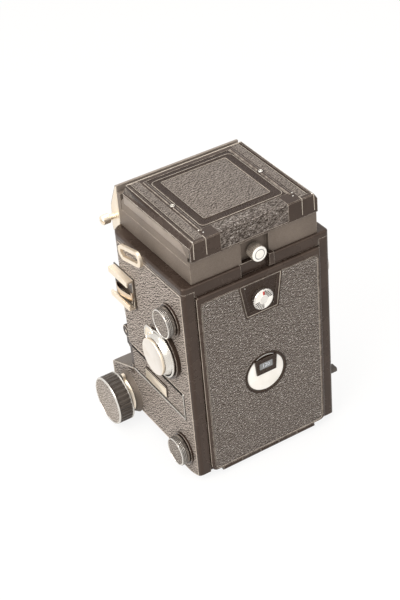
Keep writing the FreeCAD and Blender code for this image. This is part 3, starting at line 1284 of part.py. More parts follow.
def make_lid():
    """Hood lid: a shallow tray upside down, open where the finder door sits."""
    body = new_body("hood_lid")
    wide, low = d.hoodHalf - 0.2, d.lidLow
    y0, y1 = d.lidFront, d.lidRear
    pad(body, "YZ", [[(y0, low), (y1 - 1.5, low), (y1 - 1.5, low - 8), (y1, low - 8), (y1, lid_top(y1) - 0.5),
                      (y1 - 0.5, lid_top(y1)), (y0 + 0.5, lid_top(y0)), (y0, lid_top(y0) - 0.5)]], -wide, wide)
    pocket(body, "XY", [rect(-wide + 3.4, wide - 3.4, y0 + 2.1, y1 - 1.6)], low, ceiling)
    for side in (1, -1):
        edge = [(wide - 2.4, lidAbove), (wide - 2.4, lidAbove - 2), (wide, low + 0.6), (wide + 1, low),
                (wide + 1, lidAbove)]
        pocket(body, "XZ", [[(side * as_size(x), z) for x, z in edge]], y0, y1)
        for y, step in ((y0 + 2.1, -1.3), (y1 - 1.6, 1.1)):
            ends = (y + step, y) if step < 0 else (y, y + step)
            pocket(body, "XZ", [("circle", side * wingX, wingZ, 0.5 + d.runningFit)], *ends)
    pocket(body, "XY", [rect(-d.finderHalf - 0.3, d.finderHalf + 0.3, d.finderFront - 0.5, d.finderRear + 0.3)],
           ceiling - 0.1, lidAbove)
    for side in (1, -1):
        x0, x1 = span(side, 12.2, 19.8)
        pad(body, "YZ", [[(d.lidHingeY, d.lidHingeZ - 1), (y0 + 0.6, d.lidHingeZ - 1), (y0 + 0.6, d.lidHingeZ + 2),
                          (d.lidHingeY, d.lidHingeZ + 2)]], x0, x1)
        pad(body, "YZ", [("circle", d.lidHingeY, d.lidHingeZ, 2)], x0, x1)
        pocket(body, "YZ", [("circle", d.lidHingeY, d.lidHingeZ, 1 + d.runningFit)], x0, x1)
        x2, x3 = span(side, d.finderHalf + 0.2, d.finderHalf + 1.6)
        pocket(body, "YZ", [("circle", d.finderFront + 0.5, finderZ, 0.5 + d.runningFit)], x2, x3)
    pad(body, "XY", [rect(-wide + 3.3, wide - 3.3, armY - 4, armY + 4)], ceiling - 1.4, ceiling - 0.2)
    for side in (1, -1):
        x0, x1 = span(side, 4.1, 6)
        pad(body, "YZ", [[(armY - 2, ceiling - 1), (armY - 1.6, armZ - 1.6), (armY + 1.6, armZ - 1.6),
                          (armY + 2, ceiling - 1)]], x0, x1)
        pocket(body, "YZ", [("circle", armY, armZ, 0.8)], x0, x1)
    recess = d.leatherThick - 0.3
    for side in (1, -1):
        xs = span(side, d.finderHalf + 4.1, wide - 3.6)
        pocket(body, "YZ", [lid_band(y0 + 0.8, y1 - 2.9, -recess, lidAbove)], *xs)
        xs = span(side, d.finderHalf + 1, d.finderHalf + 2.5)
        pad(body, "YZ", [lid_band(d.finderFront, d.finderRear + 2, -0.3, 0.5)], *xs)
    flap = d.finderHalf - 5.5
    pocket(body, "YZ", [lid_band(d.finderRear + 0.5, y1, -recess, lidAbove)], -flap, flap)
    pocket(body, "XZ", [rect(-flap, flap, low - 7, lidAbove)], y1 - recess, y1)
    keep("hood_lid", body)


def make_finder_door():
    """Door in the lid, open for the sports finder."""
    body = new_body("finder_door")
    y0, y1 = d.finderFront, d.finderRear
    pad(body, "YZ", [[(y0, ceiling + 0.1), (y1, ceiling + 0.1), (y1, lid_top(y1)), (y0 + 0.4, lid_top(y0)),
                      (y0, lid_top(y0) - 0.4)]], -d.finderHalf, d.finderHalf)
    pad(body, "YZ", [("circle", y0 + 0.5, finderZ, 0.5)], -d.finderHalf - 1.4, d.finderHalf + 1.4)
    panel = d.finderHalf - 6
    pocket(body, "YZ", [lid_band(y0 + 5.9, y1 - 6.9, 0.3 - d.leatherThick, lidAbove)], -panel, panel)
    keep("finder_door", body)


def make_wings():
    """Side shades of the hood, folded flat under the lid."""
    for side in (1, -1):
        body = new_body("hood_wing_" + side_name(side))
        x0, x1 = span(side, 15, wingX + 0.5)
        y0, y1 = d.lidFront + 4.1, d.lidRear - 5
        pad(body, "XY", [[(x0, y0), (x1, y0), (x1, y1), (x0, y1)]], wingZ - 0.5, wingZ + 0.5)
        pad(body, "XZ", [("circle", side * wingX, wingZ, 0.5)], d.lidFront + 1, y0 + 1)
        pad(body, "XZ", [("circle", side * wingX, wingZ, 0.5)], y1 - 1, d.lidRear - 0.7)
        keep("hood_wing_" + side_name(side), body)


def make_rear_flap():
    body = new_body("hood_rear_flap")
    pad(body, "YZ", [[(flapY - 22, flapZ - 0.3), (flapY, flapZ - 0.3), (flapY, flapZ + 0.7),
                      (flapY - 22, flapZ + 0.7)]], -flapHalf, flapHalf)
    pad(body, "YZ", [("circle", flapY, flapZ, 0.9)], -flapHalf, flapHalf)
    pad(body, "YZ", [("circle", flapY, flapZ, 0.7)], -flapHalf - 2.6, flapHalf + 2.6)
    keep("hood_rear_flap", body)


def make_magnifier():
    """Folding magnifier: arm on a pin with a round cell, and its lens."""
    body = new_body("magnifier")
    centre, r = 17, 12.5
    low, high = armZ - 3.6, armZ - 0.6
    pad(body, "XY", [rect(-3.8, 3.8, armY, centre - r + 2)], armZ - 2, armZ - 0.8)
    pad(body, "XY", [("circle", 0, centre, r)], low, high)
    pad(body, "YZ", [("circle", armY, armZ, 1.9)], -3.8, 3.8)
    pad(body, "YZ", [("circle", armY, armZ, 0.8 - d.runningFit)], -6, 6)
    pocket(body, "XY", [("circle", 0, centre, r - 1.6)], low, high)
    keep("magnifier", body)
    lens = as_size(r - 1.6)
    turned("magnifier_glass", "Z",
           [(low + 0.7, 0), (low + 0.7, lens), (high - 0.9, lens, -dome(lens, 0.8)), (high - 0.1, 0)],
           y=centre)


# ---- whole camera --------------------------------------------------------------------

make_castings()
make_rollers()
keep("side_coverings", fused("side_coverings", make_side_cover(1) + make_side_cover(-1)))
make_top_plate()
make_screen()
make_mirror()
make_foot()
make_lugs()
make_shoe()
make_focus_shaft()
make_racks()
for side in (1, -1):
    make_focus_knob(side)
make_focus_bosses()
make_focus_lock()
make_standard()
make_lens_board()
make_bail()
make_bellows()
make_taking_lens()
make_viewing_lens()
make_glasses()
make_door()
make_door_fittings()
make_door_hinge()
make_pressure_plate()
make_catch()
make_spool()
make_spool_knobs()
make_crank()
make_lock_dial()
make_exposure_lever()
make_release_button()
make_finder_block()
make_hood_base()
make_hood_knob()
make_lid()
make_finder_door()
make_wings()
make_rear_flap()
make_magnifier()

doc.recompute()

def owner(obj):
    group = obj.getParentGeoFeatureGroup()
    return group.Label if group else obj.Label


failed = ["%s in %s" % (obj.Name, owner(obj)) for obj in doc.Objects
          if "Invalid" in obj.State or "Error" in obj.State]
if failed:
    raise RuntimeError("not built: " + "; ".join(failed))

for feature in CUTTERS:
    before = feature.BaseFeature.Shape.Volume
    if before - feature.Shape.Volume < 1e-4:
        raise RuntimeError("%s in %s takes nothing away" % (feature.Name, owner(feature)))

os.makedirs("parts", exist_ok=True)
for label, obj in NODES.items():
    shape = obj.Shape
    if shape.isNull() or not shape.isValid() or shape.Volume <= 0:
        raise RuntimeError("%s has no valid shape" % label)
    shape.exportStep(os.path.join("parts", label + ".step"))
    print("%-24s %2d solid(s) %10.1f mm3" % (label, len(shape.Solids), shape.Volume))
print(len(NODES), "sub-parts")
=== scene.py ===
import bpy, bmesh, math
from mathutils import Matrix, Vector


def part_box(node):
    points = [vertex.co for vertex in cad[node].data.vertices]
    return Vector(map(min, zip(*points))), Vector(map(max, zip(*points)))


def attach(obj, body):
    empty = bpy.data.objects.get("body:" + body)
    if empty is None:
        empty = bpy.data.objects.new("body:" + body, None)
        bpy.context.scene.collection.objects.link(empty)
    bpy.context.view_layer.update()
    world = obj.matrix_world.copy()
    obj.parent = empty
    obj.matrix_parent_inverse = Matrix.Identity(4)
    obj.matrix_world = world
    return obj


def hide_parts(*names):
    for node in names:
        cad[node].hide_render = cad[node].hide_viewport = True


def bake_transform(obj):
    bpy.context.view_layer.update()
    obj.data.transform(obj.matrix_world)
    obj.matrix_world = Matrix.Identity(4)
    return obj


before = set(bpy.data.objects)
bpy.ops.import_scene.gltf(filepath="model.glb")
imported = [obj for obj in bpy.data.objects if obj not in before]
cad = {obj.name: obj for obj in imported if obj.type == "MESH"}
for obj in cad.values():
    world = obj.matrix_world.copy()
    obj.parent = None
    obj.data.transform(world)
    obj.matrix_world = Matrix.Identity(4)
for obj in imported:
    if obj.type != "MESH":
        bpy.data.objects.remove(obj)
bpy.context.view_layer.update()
scene = bpy.context.scene
mm = 0.001  # the piece dictionaries are in millimetres
print("frame loaded:", len(cad), "nodes")

cameraView = {"target": (0.017281, 0.003685, 0.098401), "azimuth": 28.767, "elevation": 35.711, "distance": 0.81307,
    "roll": 5.415, "lens": 83.362}


def placeCamera(view):
    az, el, roll = (math.radians(view[k]) for k in ("azimuth", "elevation", "roll"))
    target = Vector(view["target"])
    toCamera = Vector((math.sin(az) * math.cos(el), math.cos(az) * math.cos(el), math.sin(el)))
    forward = -toCamera
    right = forward.cross(Vector((0, 0, 1))).normalized()
    down = forward.cross(right)
    turnedRight = right * math.cos(roll) + down * math.sin(roll)
    turnedDown = down * math.cos(roll) - right * math.sin(roll)
    data = bpy.data.cameras.new("studioCamera")
    data.lens = view["lens"]
    data.sensor_width = 36
    data.clip_start, data.clip_end = 0.01, 20
    camera = bpy.data.objects.new("studioCamera", data)
    scene.collection.objects.link(camera)
    turn = Matrix((turnedRight, -turnedDown, toCamera)).transposed().to_4x4()
    camera.matrix_world = Matrix.Translation(target + toCamera * view["distance"]) @ turn
    scene.camera = camera


placeCamera(cameraView)


def feed(socket, value):  # another socket is linked, a value is set
    if isinstance(value, bpy.types.NodeSocket):
        socket.id_data.links.new(value, socket)
    elif value is not None:
        socket.default_value = value


def fill(node, **values):  # inputs by name, spaces written as _
    for key, value in values.items():
        feed(node.inputs[key.replace("_", " ")], value)
    return node


def addNode(tree, kind, *values, **settings):  # the values go to the inputs in order
    node = tree.nodes.new(kind)
    for key, value in settings.items():
        setattr(node, key, value)
    for socket, value in zip(node.inputs, values):
        feed(socket, value)
    return node


def mathNode(tree, operation, *values, clamp=False):
    return addNode(tree, "ShaderNodeMath", *values, operation=operation, use_clamp=clamp).outputs[0]


def vectorNode(tree, operation, *values):
    node = addNode(tree, "ShaderNodeVectorMath", *values, operation=operation)
    return node.outputs["Value" if operation in ("DOT_PRODUCT", "LENGTH") else "Vector"]


def objectPoint(tree):
    return addNode(tree, "ShaderNodeTexCoord").outputs["Object"]


def noise(tree, where, **values):
    return fill(addNode(tree, "ShaderNodeTexNoise"), Vector=where, **values).outputs


def ramp(tree, value, low, high, toLow=0.0, toHigh=1.0):  # smooth step between two values
    node = addNode(tree, "ShaderNodeMapRange", interpolation_type="SMOOTHSTEP")
    return fill(node, Value=value, From_Min=low, From_Max=high, To_Min=toLow, To_Max=toHigh).outputs["Result"]


def mixColour(tree, factor, first, second):
    node = addNode(tree, "ShaderNodeMix", factor, data_type="RGBA")
    for socket, value in zip(node.inputs[6:8], (first, second)):  # the two colour inputs
        feed(socket, (*value[:3], 1) if isinstance(value, tuple) else value)
    return node.outputs[2]


number, vector = "NodeSocketFloat", "NodeSocketVector"


def newGroup(name, inputs, outputs):
    tree = bpy.data.node_groups.new(name, "ShaderNodeTree")
    for label, value in inputs.items():
        kind = vector if isinstance(value, tuple) else number
        tree.interface.new_socket(name=label, in_out="INPUT", socket_type=kind).default_value = value
    for label, kind in outputs.items():
        tree.interface.new_socket(name=label, in_out="OUTPUT", socket_type=kind)
    return tree, addNode(tree, "NodeGroupInput").outputs, addNode(tree, "NodeGroupOutput")


# a mask along every edge, used both for real wear and for a painted highlight on edges
def makeEdgeWear():
    tree, given, end = newGroup("edgeWear", {"Radius": 0.0005, "Amount": 0.5, "Patches": 300.0},
        {"Mask": number, "Normal": vector})
    rounded = addNode(tree, "ShaderNodeBevel", given["Radius"], samples=6).outputs[0]
    flat = addNode(tree, "ShaderNodeNewGeometry").outputs["Normal"]
    edge = ramp(tree, vectorNode(tree, "DOT_PRODUCT", rounded, flat), 0.985, 0.86)
    patches = noise(tree, objectPoint(tree), Scale=given["Patches"], Detail=4.0, Roughness=0.6)
    patch = ramp(tree, patches["Fac"], 0.36, 0.6, 0.35, 1.0)
    worn = mathNode(tree, "MULTIPLY", edge, patch)
    fill(end, Mask=mathNode(tree, "MULTIPLY", worn, given["Amount"], clamp=True), Normal=rounded)
    return tree


def makeLeatherGrain():  # long low wrinkles with painted light: the side of each wrinkle that faces the Lean direction is painted paler and the other side darker, and Glint marks painted glints on the pale sides
    tree, given, end = newGroup("leatherGrain", {
        "Cells": 900.0, "Swirl": 0.0006, "Stretch": (1.0, 1.0, 1.0), "Tilt": (0.0, 0.0, 0.0),
        "Lean": (0.0, 0.0, 0.0004), "Contrast": 3.0, "Sparkle": 0.6,
    }, dict.fromkeys(("Height", "Crest", "Glint", "Tone"), number))
    place = objectPoint(tree)
    drift = noise(tree, place, Scale=330.0, Detail=2.0)["Color"]
    middle = vectorNode(tree, "SUBTRACT", drift, (0.5, 0.5, 0.5))
    push = vectorNode(tree, "SCALE", middle, None, None, given["Swirl"])
    moved = vectorNode(tree, "ADD", place, push)
    slant = vectorNode(tree, "DOT_PRODUCT", moved, given["Tilt"])
    lift = addNode(tree, "ShaderNodeCombineXYZ", None, None, slant).outputs[0]
    leaning = vectorNode(tree, "ADD", moved, lift)
    above = vectorNode(tree, "ADD", leaning, given["Lean"])
    levels = [noise(tree, vectorNode(tree, "MULTIPLY", spot, given["Stretch"]), Scale=given["Cells"], Detail=2.0,
        Roughness=0.55, Distortion=0.35)["Fac"] for spot in (leaning, above)]
    # painted light: where a wrinkle falls away towards Lean it is painted paler (Crest), and where it rises it is
    # painted darker
    fall = mathNode(tree, "SUBTRACT", *levels)
    scaled = mathNode(tree, "MULTIPLY", fall, given["Contrast"])
    crest = mathNode(tree, "ADD", scaled, 0.45, clamp=True)
    # painted glints: small bright spots on the painted lit sides
    spark = noise(tree, place, Scale=1300.0, Detail=2.0, Roughness=0.5)["Fac"]
    lit = mathNode(tree, "MULTIPLY", ramp(tree, spark, 0.52, 0.64), ramp(tree, crest, 0.62, 0.95))
    fill(end, Height=levels[0], Crest=crest, Tone=noise(tree, place, Scale=45.0, Detail=3.0)["Fac"],
        Glint=mathNode(tree, "MULTIPLY", lit, given["Sparkle"], clamp=True))
    return tree


def makeHandling():  # soft smudges and fine speckle that vary gloss and tone
    tree, given, end = newGroup("handling", {"Smudge": 60.0, "Speckle": 1800.0},
        {"Smudges": number, "Specks": number})
    place = objectPoint(tree)
    for name, source, low, high in (("Smudges", "Smudge", 0.35, 0.7), ("Specks", "Speckle", 0.3, 0.75)):
        patches = noise(tree, place, Scale=given[source], Detail=4.0, Roughness=0.6)
        feed(end.inputs[name], ramp(tree, patches["Fac"], low, high))
    return tree


def makeBrushing():  # long fine scratches along one axis
    tree, given, end = newGroup("brushing", {"Stretch": (60.0, 2600.0, 2600.0)}, {"Height": number})
    scaled = vectorNode(tree, "MULTIPLY", objectPoint(tree), given["Stretch"])
    fill(end, Height=noise(tree, scaled, Scale=1.0, Detail=3.0, Roughness=0.7)["Fac"])
    return tree


def makeTurning():  # fine turned rings round an axis
    tree, given, end = newGroup("turning", {"Centre": (0.0, 0.0, 0.0), "Across": (0.0, 1.0, 1.0), "Rings": 3000.0},
        {"Rings": number})
    offset = vectorNode(tree, "SUBTRACT", objectPoint(tree), given["Centre"])
    flat = vectorNode(tree, "MULTIPLY", offset, given["Across"])
    radius = vectorNode(tree, "LENGTH", flat)
    fill(end, Rings=mathNode(tree, "SINE", mathNode(tree, "MULTIPLY", radius, given["Rings"])))
    return tree


edgeWear, leatherGrain, handling = makeEdgeWear(), makeLeatherGrain(), makeHandling()
brushing, turning = makeBrushing(), makeTurning()


def effect(tree, group, **values):
    node = addNode(tree, "ShaderNodeGroup", node_tree=group)
    return fill(node, **values).outputs


def startMaterial(name, **settings):
    material = bpy.data.materials.new(name)
    material.use_nodes = True
    tree = material.node_tree
    tree.nodes.clear()
    shader = fill(addNode(tree, "ShaderNodeBsdfPrincipled"), **settings)
    addNode(tree, "ShaderNodeOutputMaterial", shader.outputs[0])
    return material, tree, shader


def addBump(tree, shader, height, distance, strength, normal=None):
    bump = fill(addNode(tree, "ShaderNodeBump"), Strength=strength, Distance=distance, Height=height, Normal=normal)
    fill(shader, Normal=bump.outputs[0])


def makeSurface(name, look):  # enamel, metal and plastic: two tones, edges lightened partly as wear and partly as a painted highlight, smudged gloss and a fine grain
    gloss = {"Metallic": 1.0} if look["metallic"] else {"Specular_IOR_Level": look["shine"],
        "Specular_Tint": look["sheen"]}
    material, tree, shader = startMaterial(name, **gloss)
    wearAndHighlight = effect(tree, edgeWear, Radius=look["wearRadius"], Amount=look["worn"], Patches=look["patches"])
    touch = effect(tree, handling, Smudge=look["smudge"], Speckle=look["speckle"])
    toned = mixColour(tree, touch["Smudges"], look["tone"], look["aged"])
    if "fleck" in look:
        flecks = mathNode(tree, "MULTIPLY", touch["Specks"], look["fleck"])
        toned = mixColour(tree, flecks, toned, look["bare"])
    grain = touch["Specks"]
    if "rings" in look:
        grain = effect(tree, turning, Centre=look["centre"], Across=look["across"], Rings=look["rings"])["Rings"]
    elif "brush" in look:
        grain = effect(tree, brushing, Stretch=look["brush"])["Height"]
    fill(shader, Base_Color=mixColour(tree, wearAndHighlight["Mask"], toned, look["bare"]),
        Roughness=ramp(tree, touch[look["glossBy"]], 0.0, 1.0, look["rough"], look["rough"] + look["spread"]))
    addBump(tree, shader, grain, look["relief"], look["strength"], wearAndHighlight["Normal"])
    return material


def makeLeather(name, look):
    material, tree, shader = startMaterial(name, Specular_IOR_Level=look["shine"], Specular_Tint=look["sheen"])
    grain = effect(tree, leatherGrain, **{key.title(): look[key] for key in ("cells", "swirl", "stretch", "tilt",
        "lean", "contrast", "sparkle")})
    # rubbed edges: lightened partly as real wear and partly as a painted highlight along every edge
    wearAndHighlight = effect(tree, edgeWear, Radius=0.0003, Amount=0.5, Patches=500.0)
    # the painted shaded colour (deep, deepWarm) and the painted lit colour (crest, crestWarm) of the wrinkles, mixed
    # by the painted light, with painted glints on top
    low = mixColour(tree, grain["Tone"], look["deep"], look["deepWarm"])
    top = mixColour(tree, grain["Tone"], look["crest"], look["crestWarm"])
    skin = mixColour(tree, grain["Crest"], low, top)
    skin = mixColour(tree, grain["Glint"], skin, look["glint"])
    fill(shader, Base_Color=mixColour(tree, wearAndHighlight["Mask"], skin, look["worn"]),
        Roughness=ramp(tree, grain["Crest"], 0.0, 1.0, look["rough"] + 0.16, look["rough"]))
    addBump(tree, shader, grain["Height"], look["relief"], look["strength"], wearAndHighlight["Normal"])
    return material


def makeGlass(name, look):
    material, tree, shader = startMaterial(name, Metallic=0.0, Transmission_Weight=look["clear"], IOR=look["ior"],
        Roughness=look["rough"])
    touch = effect(tree, handling, Smudge=200.0, Speckle=2500.0)
    fill(shader, Base_Color=mixColour(tree, touch["Smudges"], look["tint"], look["tintTwo"]))
    if look["frost"]:
        addBump(tree, shader, touch["Specks"], look["frost"], 0.6)
    return material


brownSheen = (1.0, 0.8, 0.68, 1.0)
looks, finish = {}, {}


def addFinish(key, name, base, **values):  # the base is a maker, or the finish whose look is changed
    looks[key] = dict(looks.get(base, {"maker": base}), **values)
    finish[key] = looks[key]["maker"](name, looks[key])


addFinish("enamel", "blackEnamel", makeSurface, tone=(0.024, 0.0145, 0.0105), aged=(0.038, 0.025, 0.019),
    bare=(0.62, 0.55, 0.48), rough=0.22, wearRadius=0.0007, worn=0.75, patches=260.0, speckle=1500.0, fleck=0.012,
    relief=0.00003, shine=0.42, sheen=brownSheen, metallic=False, smudge=55.0, strength=0.5, spread=0.12,
    glossBy="Smudges")
# pale enamel for the thin beads and rims laid along edges: painted highlights
addFinish("brightEdge", "wornEdgeEnamel", "enamel", tone=(0.34, 0.295, 0.25), aged=(0.5, 0.44, 0.375),
    bare=(0.75, 0.69, 0.61), rough=0.3, worn=0.9)
addFinish("wall", "greyWallEnamel", "enamel", tone=(0.1, 0.08, 0.066), aged=(0.135, 0.11, 0.092),
    bare=(0.5, 0.44, 0.37), rough=0.42, speckle=2300.0, fleck=0.12, relief=0.00008, worn=0.5)
addFinish("paleWall", "paleWallEnamel", "wall", tone=(0.18, 0.15, 0.128), aged=(0.24, 0.205, 0.178), rough=0.34,
    shine=0.6)
addFinish("block", "finderBlockEnamel", "wall", tone=(0.2, 0.168, 0.146), aged=(0.26, 0.222, 0.193), fleck=0.08)
addFinish("cone", "coneEnamel", "wall", tone=(0.085, 0.07, 0.058), aged=(0.125, 0.104, 0.087), worn=0.8)
# the leathers: crest and deep are the painted lit and shaded colours of each wrinkle, lean points towards the painted
# light, contrast sets how strong that painted light is, and glint and sparkle give the painted glints
addFinish("doorSkin", "doorLeather", makeLeather, cells=1250.0, swirl=0.0008, deep=(0.013, 0.009, 0.007),
    deepWarm=(0.019, 0.014, 0.011), crest=(0.172, 0.148, 0.133), crestWarm=(0.2, 0.173, 0.155),
    worn=(0.22, 0.19, 0.16), glint=(0.85, 0.81, 0.77), sparkle=0.65, stretch=(0.6, 0.6, 1.1), tilt=(0.35, 0.0, 0.0),
    lean=(0.0, 0.0, 0.0003), contrast=12.0, rough=0.4, relief=0.0002, strength=0.7, shine=0.26, sheen=brownSheen)
addFinish("sideSkin", "sideLeather", "doorSkin", cells=950.0, swirl=0.0022, crest=(0.375, 0.325, 0.29),
    crestWarm=(0.42, 0.366, 0.328), deep=(0.018, 0.013, 0.01), deepWarm=(0.028, 0.021, 0.017), rough=0.45,
    relief=0.00018, strength=0.7, sparkle=0.15, stretch=(0.5, 0.5, 1.3), tilt=(0.0, -0.55, 0.0),
    lean=(0.0, 0.0, 0.0003), contrast=14.0)
addFinish("lidSkin", "lidLeather", "doorSkin", cells=1050.0, crest=(0.215, 0.186, 0.165),
    crestWarm=(0.255, 0.221, 0.197), relief=0.00014, rough=0.42, sparkle=0.3, glint=(0.55, 0.5, 0.46),
    stretch=(0.6, 1.3, 0.8), tilt=(0.0, 0.0, 0.0), lean=(0.00007, -0.00026, 0.0001), contrast=10.0,
    deep=(0.016, 0.012, 0.01))
addFinish("flapSkin", "lidFlapLeather", "doorSkin", cells=1200.0, contrast=5.5, stretch=(0.5, 0.8, 0.8),
    lean=(0.0, -0.0002, 0.00022), tilt=(0.2, 0.0, 0.0), sparkle=0.35)
addFinish("knobSkin", "knobLeather", "sideSkin", cells=1000.0, deep=(0.04, 0.032, 0.027),
    deepWarm=(0.055, 0.045, 0.038), crest=(0.27, 0.239, 0.213), crestWarm=(0.31, 0.276, 0.247), relief=0.0001,
    rough=0.45, sparkle=0.4, stretch=(1.0, 0.8, 1.0), contrast=9.0, lean=(0.0, 0.0, 0.00022))
addFinish("focusSkin", "focusKnobFace", "knobSkin", deep=(0.08, 0.067, 0.057), deepWarm=(0.105, 0.089, 0.076),
    crest=(0.4, 0.355, 0.318), crestWarm=(0.45, 0.402, 0.361))
addFinish("chrome", "chromePlate", makeSurface, tone=(0.8, 0.77, 0.72), aged=(0.7, 0.66, 0.6), bare=(0.92, 0.9, 0.86),
    rough=0.14, relief=0.000004, metallic=True, wearRadius=0.0003, worn=0.6, patches=400.0, smudge=90.0,
    speckle=2400.0, strength=0.6, spread=0.14, glossBy="Smudges", brush=(900.0, 900.0, 900.0))
addFinish("satin", "satinSteel", "chrome", tone=(0.66, 0.63, 0.58), aged=(0.55, 0.52, 0.47), rough=0.34,
    relief=0.00001, brush=(60.0, 2600.0, 2600.0))
addFinish("cream", "creamSatinMetal", "satin", tone=(0.94, 0.84, 0.7), aged=(0.88, 0.77, 0.62),
    bare=(0.98, 0.93, 0.85), rough=0.4)
addFinish("brass", "lugBrass", "chrome", tone=(0.78, 0.62, 0.46), aged=(0.62, 0.46, 0.32), bare=(0.95, 0.86, 0.74),
    rough=0.2)
addFinish("silver", "silvering", "chrome", tone=(0.92, 0.92, 0.92), rough=0.03)
addFinish("dial", "turnedDial", "chrome", tone=(0.9, 0.84, 0.77), aged=(0.84, 0.77, 0.69), rough=0.3, rings=9000.0,
    strength=0.7, spread=0.12, relief=0.000006, centre=(0.0, 0.0154, 0.083), across=(0.0, 1.0, 1.0))
addFinish("plastic", "mouldedBlack", makeSurface, tone=(0.045, 0.037, 0.032), aged=(0.07, 0.059, 0.051),
    bare=(0.26, 0.23, 0.2), worn=0.6, rough=0.38, relief=0.00003, metallic=False, wearRadius=0.0003, patches=500.0,
    smudge=120.0, speckle=2200.0, strength=0.5, spread=0.1, glossBy="Specks", shine=0.5, sheen=(1.0, 0.92, 0.85, 1.0))
addFinish("gloss", "glossBlack", "plastic", tone=(0.018, 0.01, 0.007), aged=(0.028, 0.018, 0.013), rough=0.22,
    shine=0.3, sheen=brownSheen, relief=0.000008, bare=(0.34, 0.29, 0.24))
addFinish("cloth", "bellowsCloth", "plastic", tone=(0.013, 0.012, 0.012), aged=(0.026, 0.024, 0.022), rough=0.72,
    relief=0.0001, worn=0.3)
addFinish("lens", "coatedGlass", makeGlass, clear=1.0, ior=1.52, rough=0.02, tint=(0.78, 0.74, 0.92),
    tintTwo=(0.82, 0.78, 0.95), frost=0.0)
addFinish("screen", "groundScreen", makeGlass, clear=0.85, ior=1.48, rough=0.45, tint=(0.86, 0.86, 0.84),
    tintTwo=(0.8, 0.8, 0.78), frost=0.00003)
addFinish("pane", "greyPane", "plastic", tone=(0.2, 0.21, 0.22), aged=(0.28, 0.29, 0.3), bare=(0.4, 0.4, 0.4),
    rough=0.2, worn=0.3)
addFinish("white", "whiteFill", "plastic", tone=(0.86, 0.84, 0.81), aged=(0.78, 0.76, 0.72), bare=(0.9, 0.88, 0.85),
    worn=0.3, rough=0.35)
addFinish("pale", "paleFigures", "white", tone=(0.62, 0.66, 0.74), aged=(0.5, 0.55, 0.66))
addFinish("ink", "blackInk", "plastic", tone=(0.008, 0.006, 0.005), aged=(0.012, 0.009, 0.007), worn=0.0, rough=0.6,
    shine=0.12)
addFinish("red", "redInk", "white", tone=(0.62, 0.06, 0.05), aged=(0.5, 0.05, 0.04), bare=(0.6, 0.2, 0.15))
print("finishes made:", len(finish))

nodeFinish = {
    "enamel": "chassis lower_bay_casting upper_bay_casting mirror_box top_plate left_side_cover "
        "right_side_cover back_door hood_lid hood_wing_left hood_wing_right hood_rear_flap "
        "front_standard lens_board bed_plate magnifier taking_barrel viewing_barrel taking_shutter "
        "pressure_plate door_hinge_leaf door_catch",
    "wall": "hood_base",
    "block": "finder_block",
    "cone": "focus_bosses",
    "doorSkin": "door_leather",
    "sideSkin": "side_coverings",
    "chrome": "tripod_bush film_roller_lower film_roller_upper speed_ring lens_bail pressure_springs "
        "release_button reminder_dial",
    "cream": "accessory_shoe screen_clamp_knob strap_lugs focus_lock_lever",
    "satin": "foot_plate focus_racks focus_shaft crank",
    "plastic": "crank_handle takeup_spool hood_clamp_knob multi_exposure_lever focus_knob_left "
        "focus_knob_right spool_knob_lower spool_knob_upper",
    "gloss": "door_trim window_disc finder_door",
    "cloth": "bellows",
    "lens": "front_glasses magnifier_glass",
    "screen": "ground_glass",
    "silver": "mirror",
    "dial": "lens_lock_dial",
}
for look, names in nodeFinish.items():
    for name in names.split():
        cad[name].data.materials.clear()
        cad[name].data.materials.append(finish[look])
print("nodes finished:", sum(len(names.split()) for names in nodeFinish.values()), "of", len(cad))


def flatPoint(axis, along, u, v):  # a point at a height along an axis; u, v are the other two in x, y, z order
    point = {"X": (along, u, v), "Y": (u, along, v), "Z": (u, v, along)}[axis]
    return Vector(point) * mm


def turnInto(form, profile, axis, centre, steps=72, base=0.0):
    # profile: (along from the base, radius, look or 0) from one end to the other; a ring closes on itself
    angles = [2 * math.pi * i / steps for i in range(steps)]
    rings = []
    for along, radius, *_ in profile:
        turned = angles if radius > 0.001 else [0.0]
        circle = [(centre[0] + radius * math.cos(a), centre[1] + radius * math.sin(a)) for a in turned]
        rings.append([form.verts.new(flatPoint(axis, base + along, *point)) for point in circle])
    if len(rings[0]) > 1 and len(rings[-1]) > 1:
        rings.append(rings[0])
    for ring, following, step in zip(rings, rings[1:], profile):
        for i in range(steps):
            j = (i + 1) % steps
            corners = (ring[i % len(ring)], ring[j % len(ring)], following[j % len(following)],
                following[i % len(following)])
            form.faces.new(list(dict.fromkeys(corners))).material_index = step[2] if len(step) > 2 else 0


def plateInto(form, outline, axis, low, high, bevel=0.0):
    below = [form.verts.new(flatPoint(axis, low, *p)) for p in outline]
    above = [form.verts.new(flatPoint(axis, high, *p)) for p in outline]
    form.faces.new(below)
    top = form.faces.new(above)
    for i, j in zip(range(len(outline)), [*range(1, len(outline)), 0]):
        form.faces.new((below[i], below[j], above[j], above[i]))
    if bevel:
        bmesh.ops.bevel(form, geom=list(top.edges), offset=bevel * mm, segments=2, profile=0.6, affect="EDGES")


def boxOutline(u0, u1, v0, v1):
    return [(u0, v0), (u1, v0), (u1, v1), (u0, v1)]


def taper(u0, half0, u1, half1):  # the outline of a rib or a mark, symmetric about u
    return [(u0, -half0), (u1, -half1), (u1, half1), (u0, half0)]


def arc(centre, radius, start, end, steps=8):
    angles = [math.radians(start + (end - start) * i / steps) for i in range(steps + 1)]
    return [(centre[0] + radius * math.cos(a), centre[1] + radius * math.sin(a)) for a in angles]


def roundedOutline(u0, u1, v0, v1, radius, steps=5):
    points = []
    for start, (u, v) in enumerate(boxOutline(u1 - radius, u0 + radius, v1 - radius, v0 + radius)):
        points += arc((u, v), radius, start * 90, start * 90 + 90, steps)
    return points


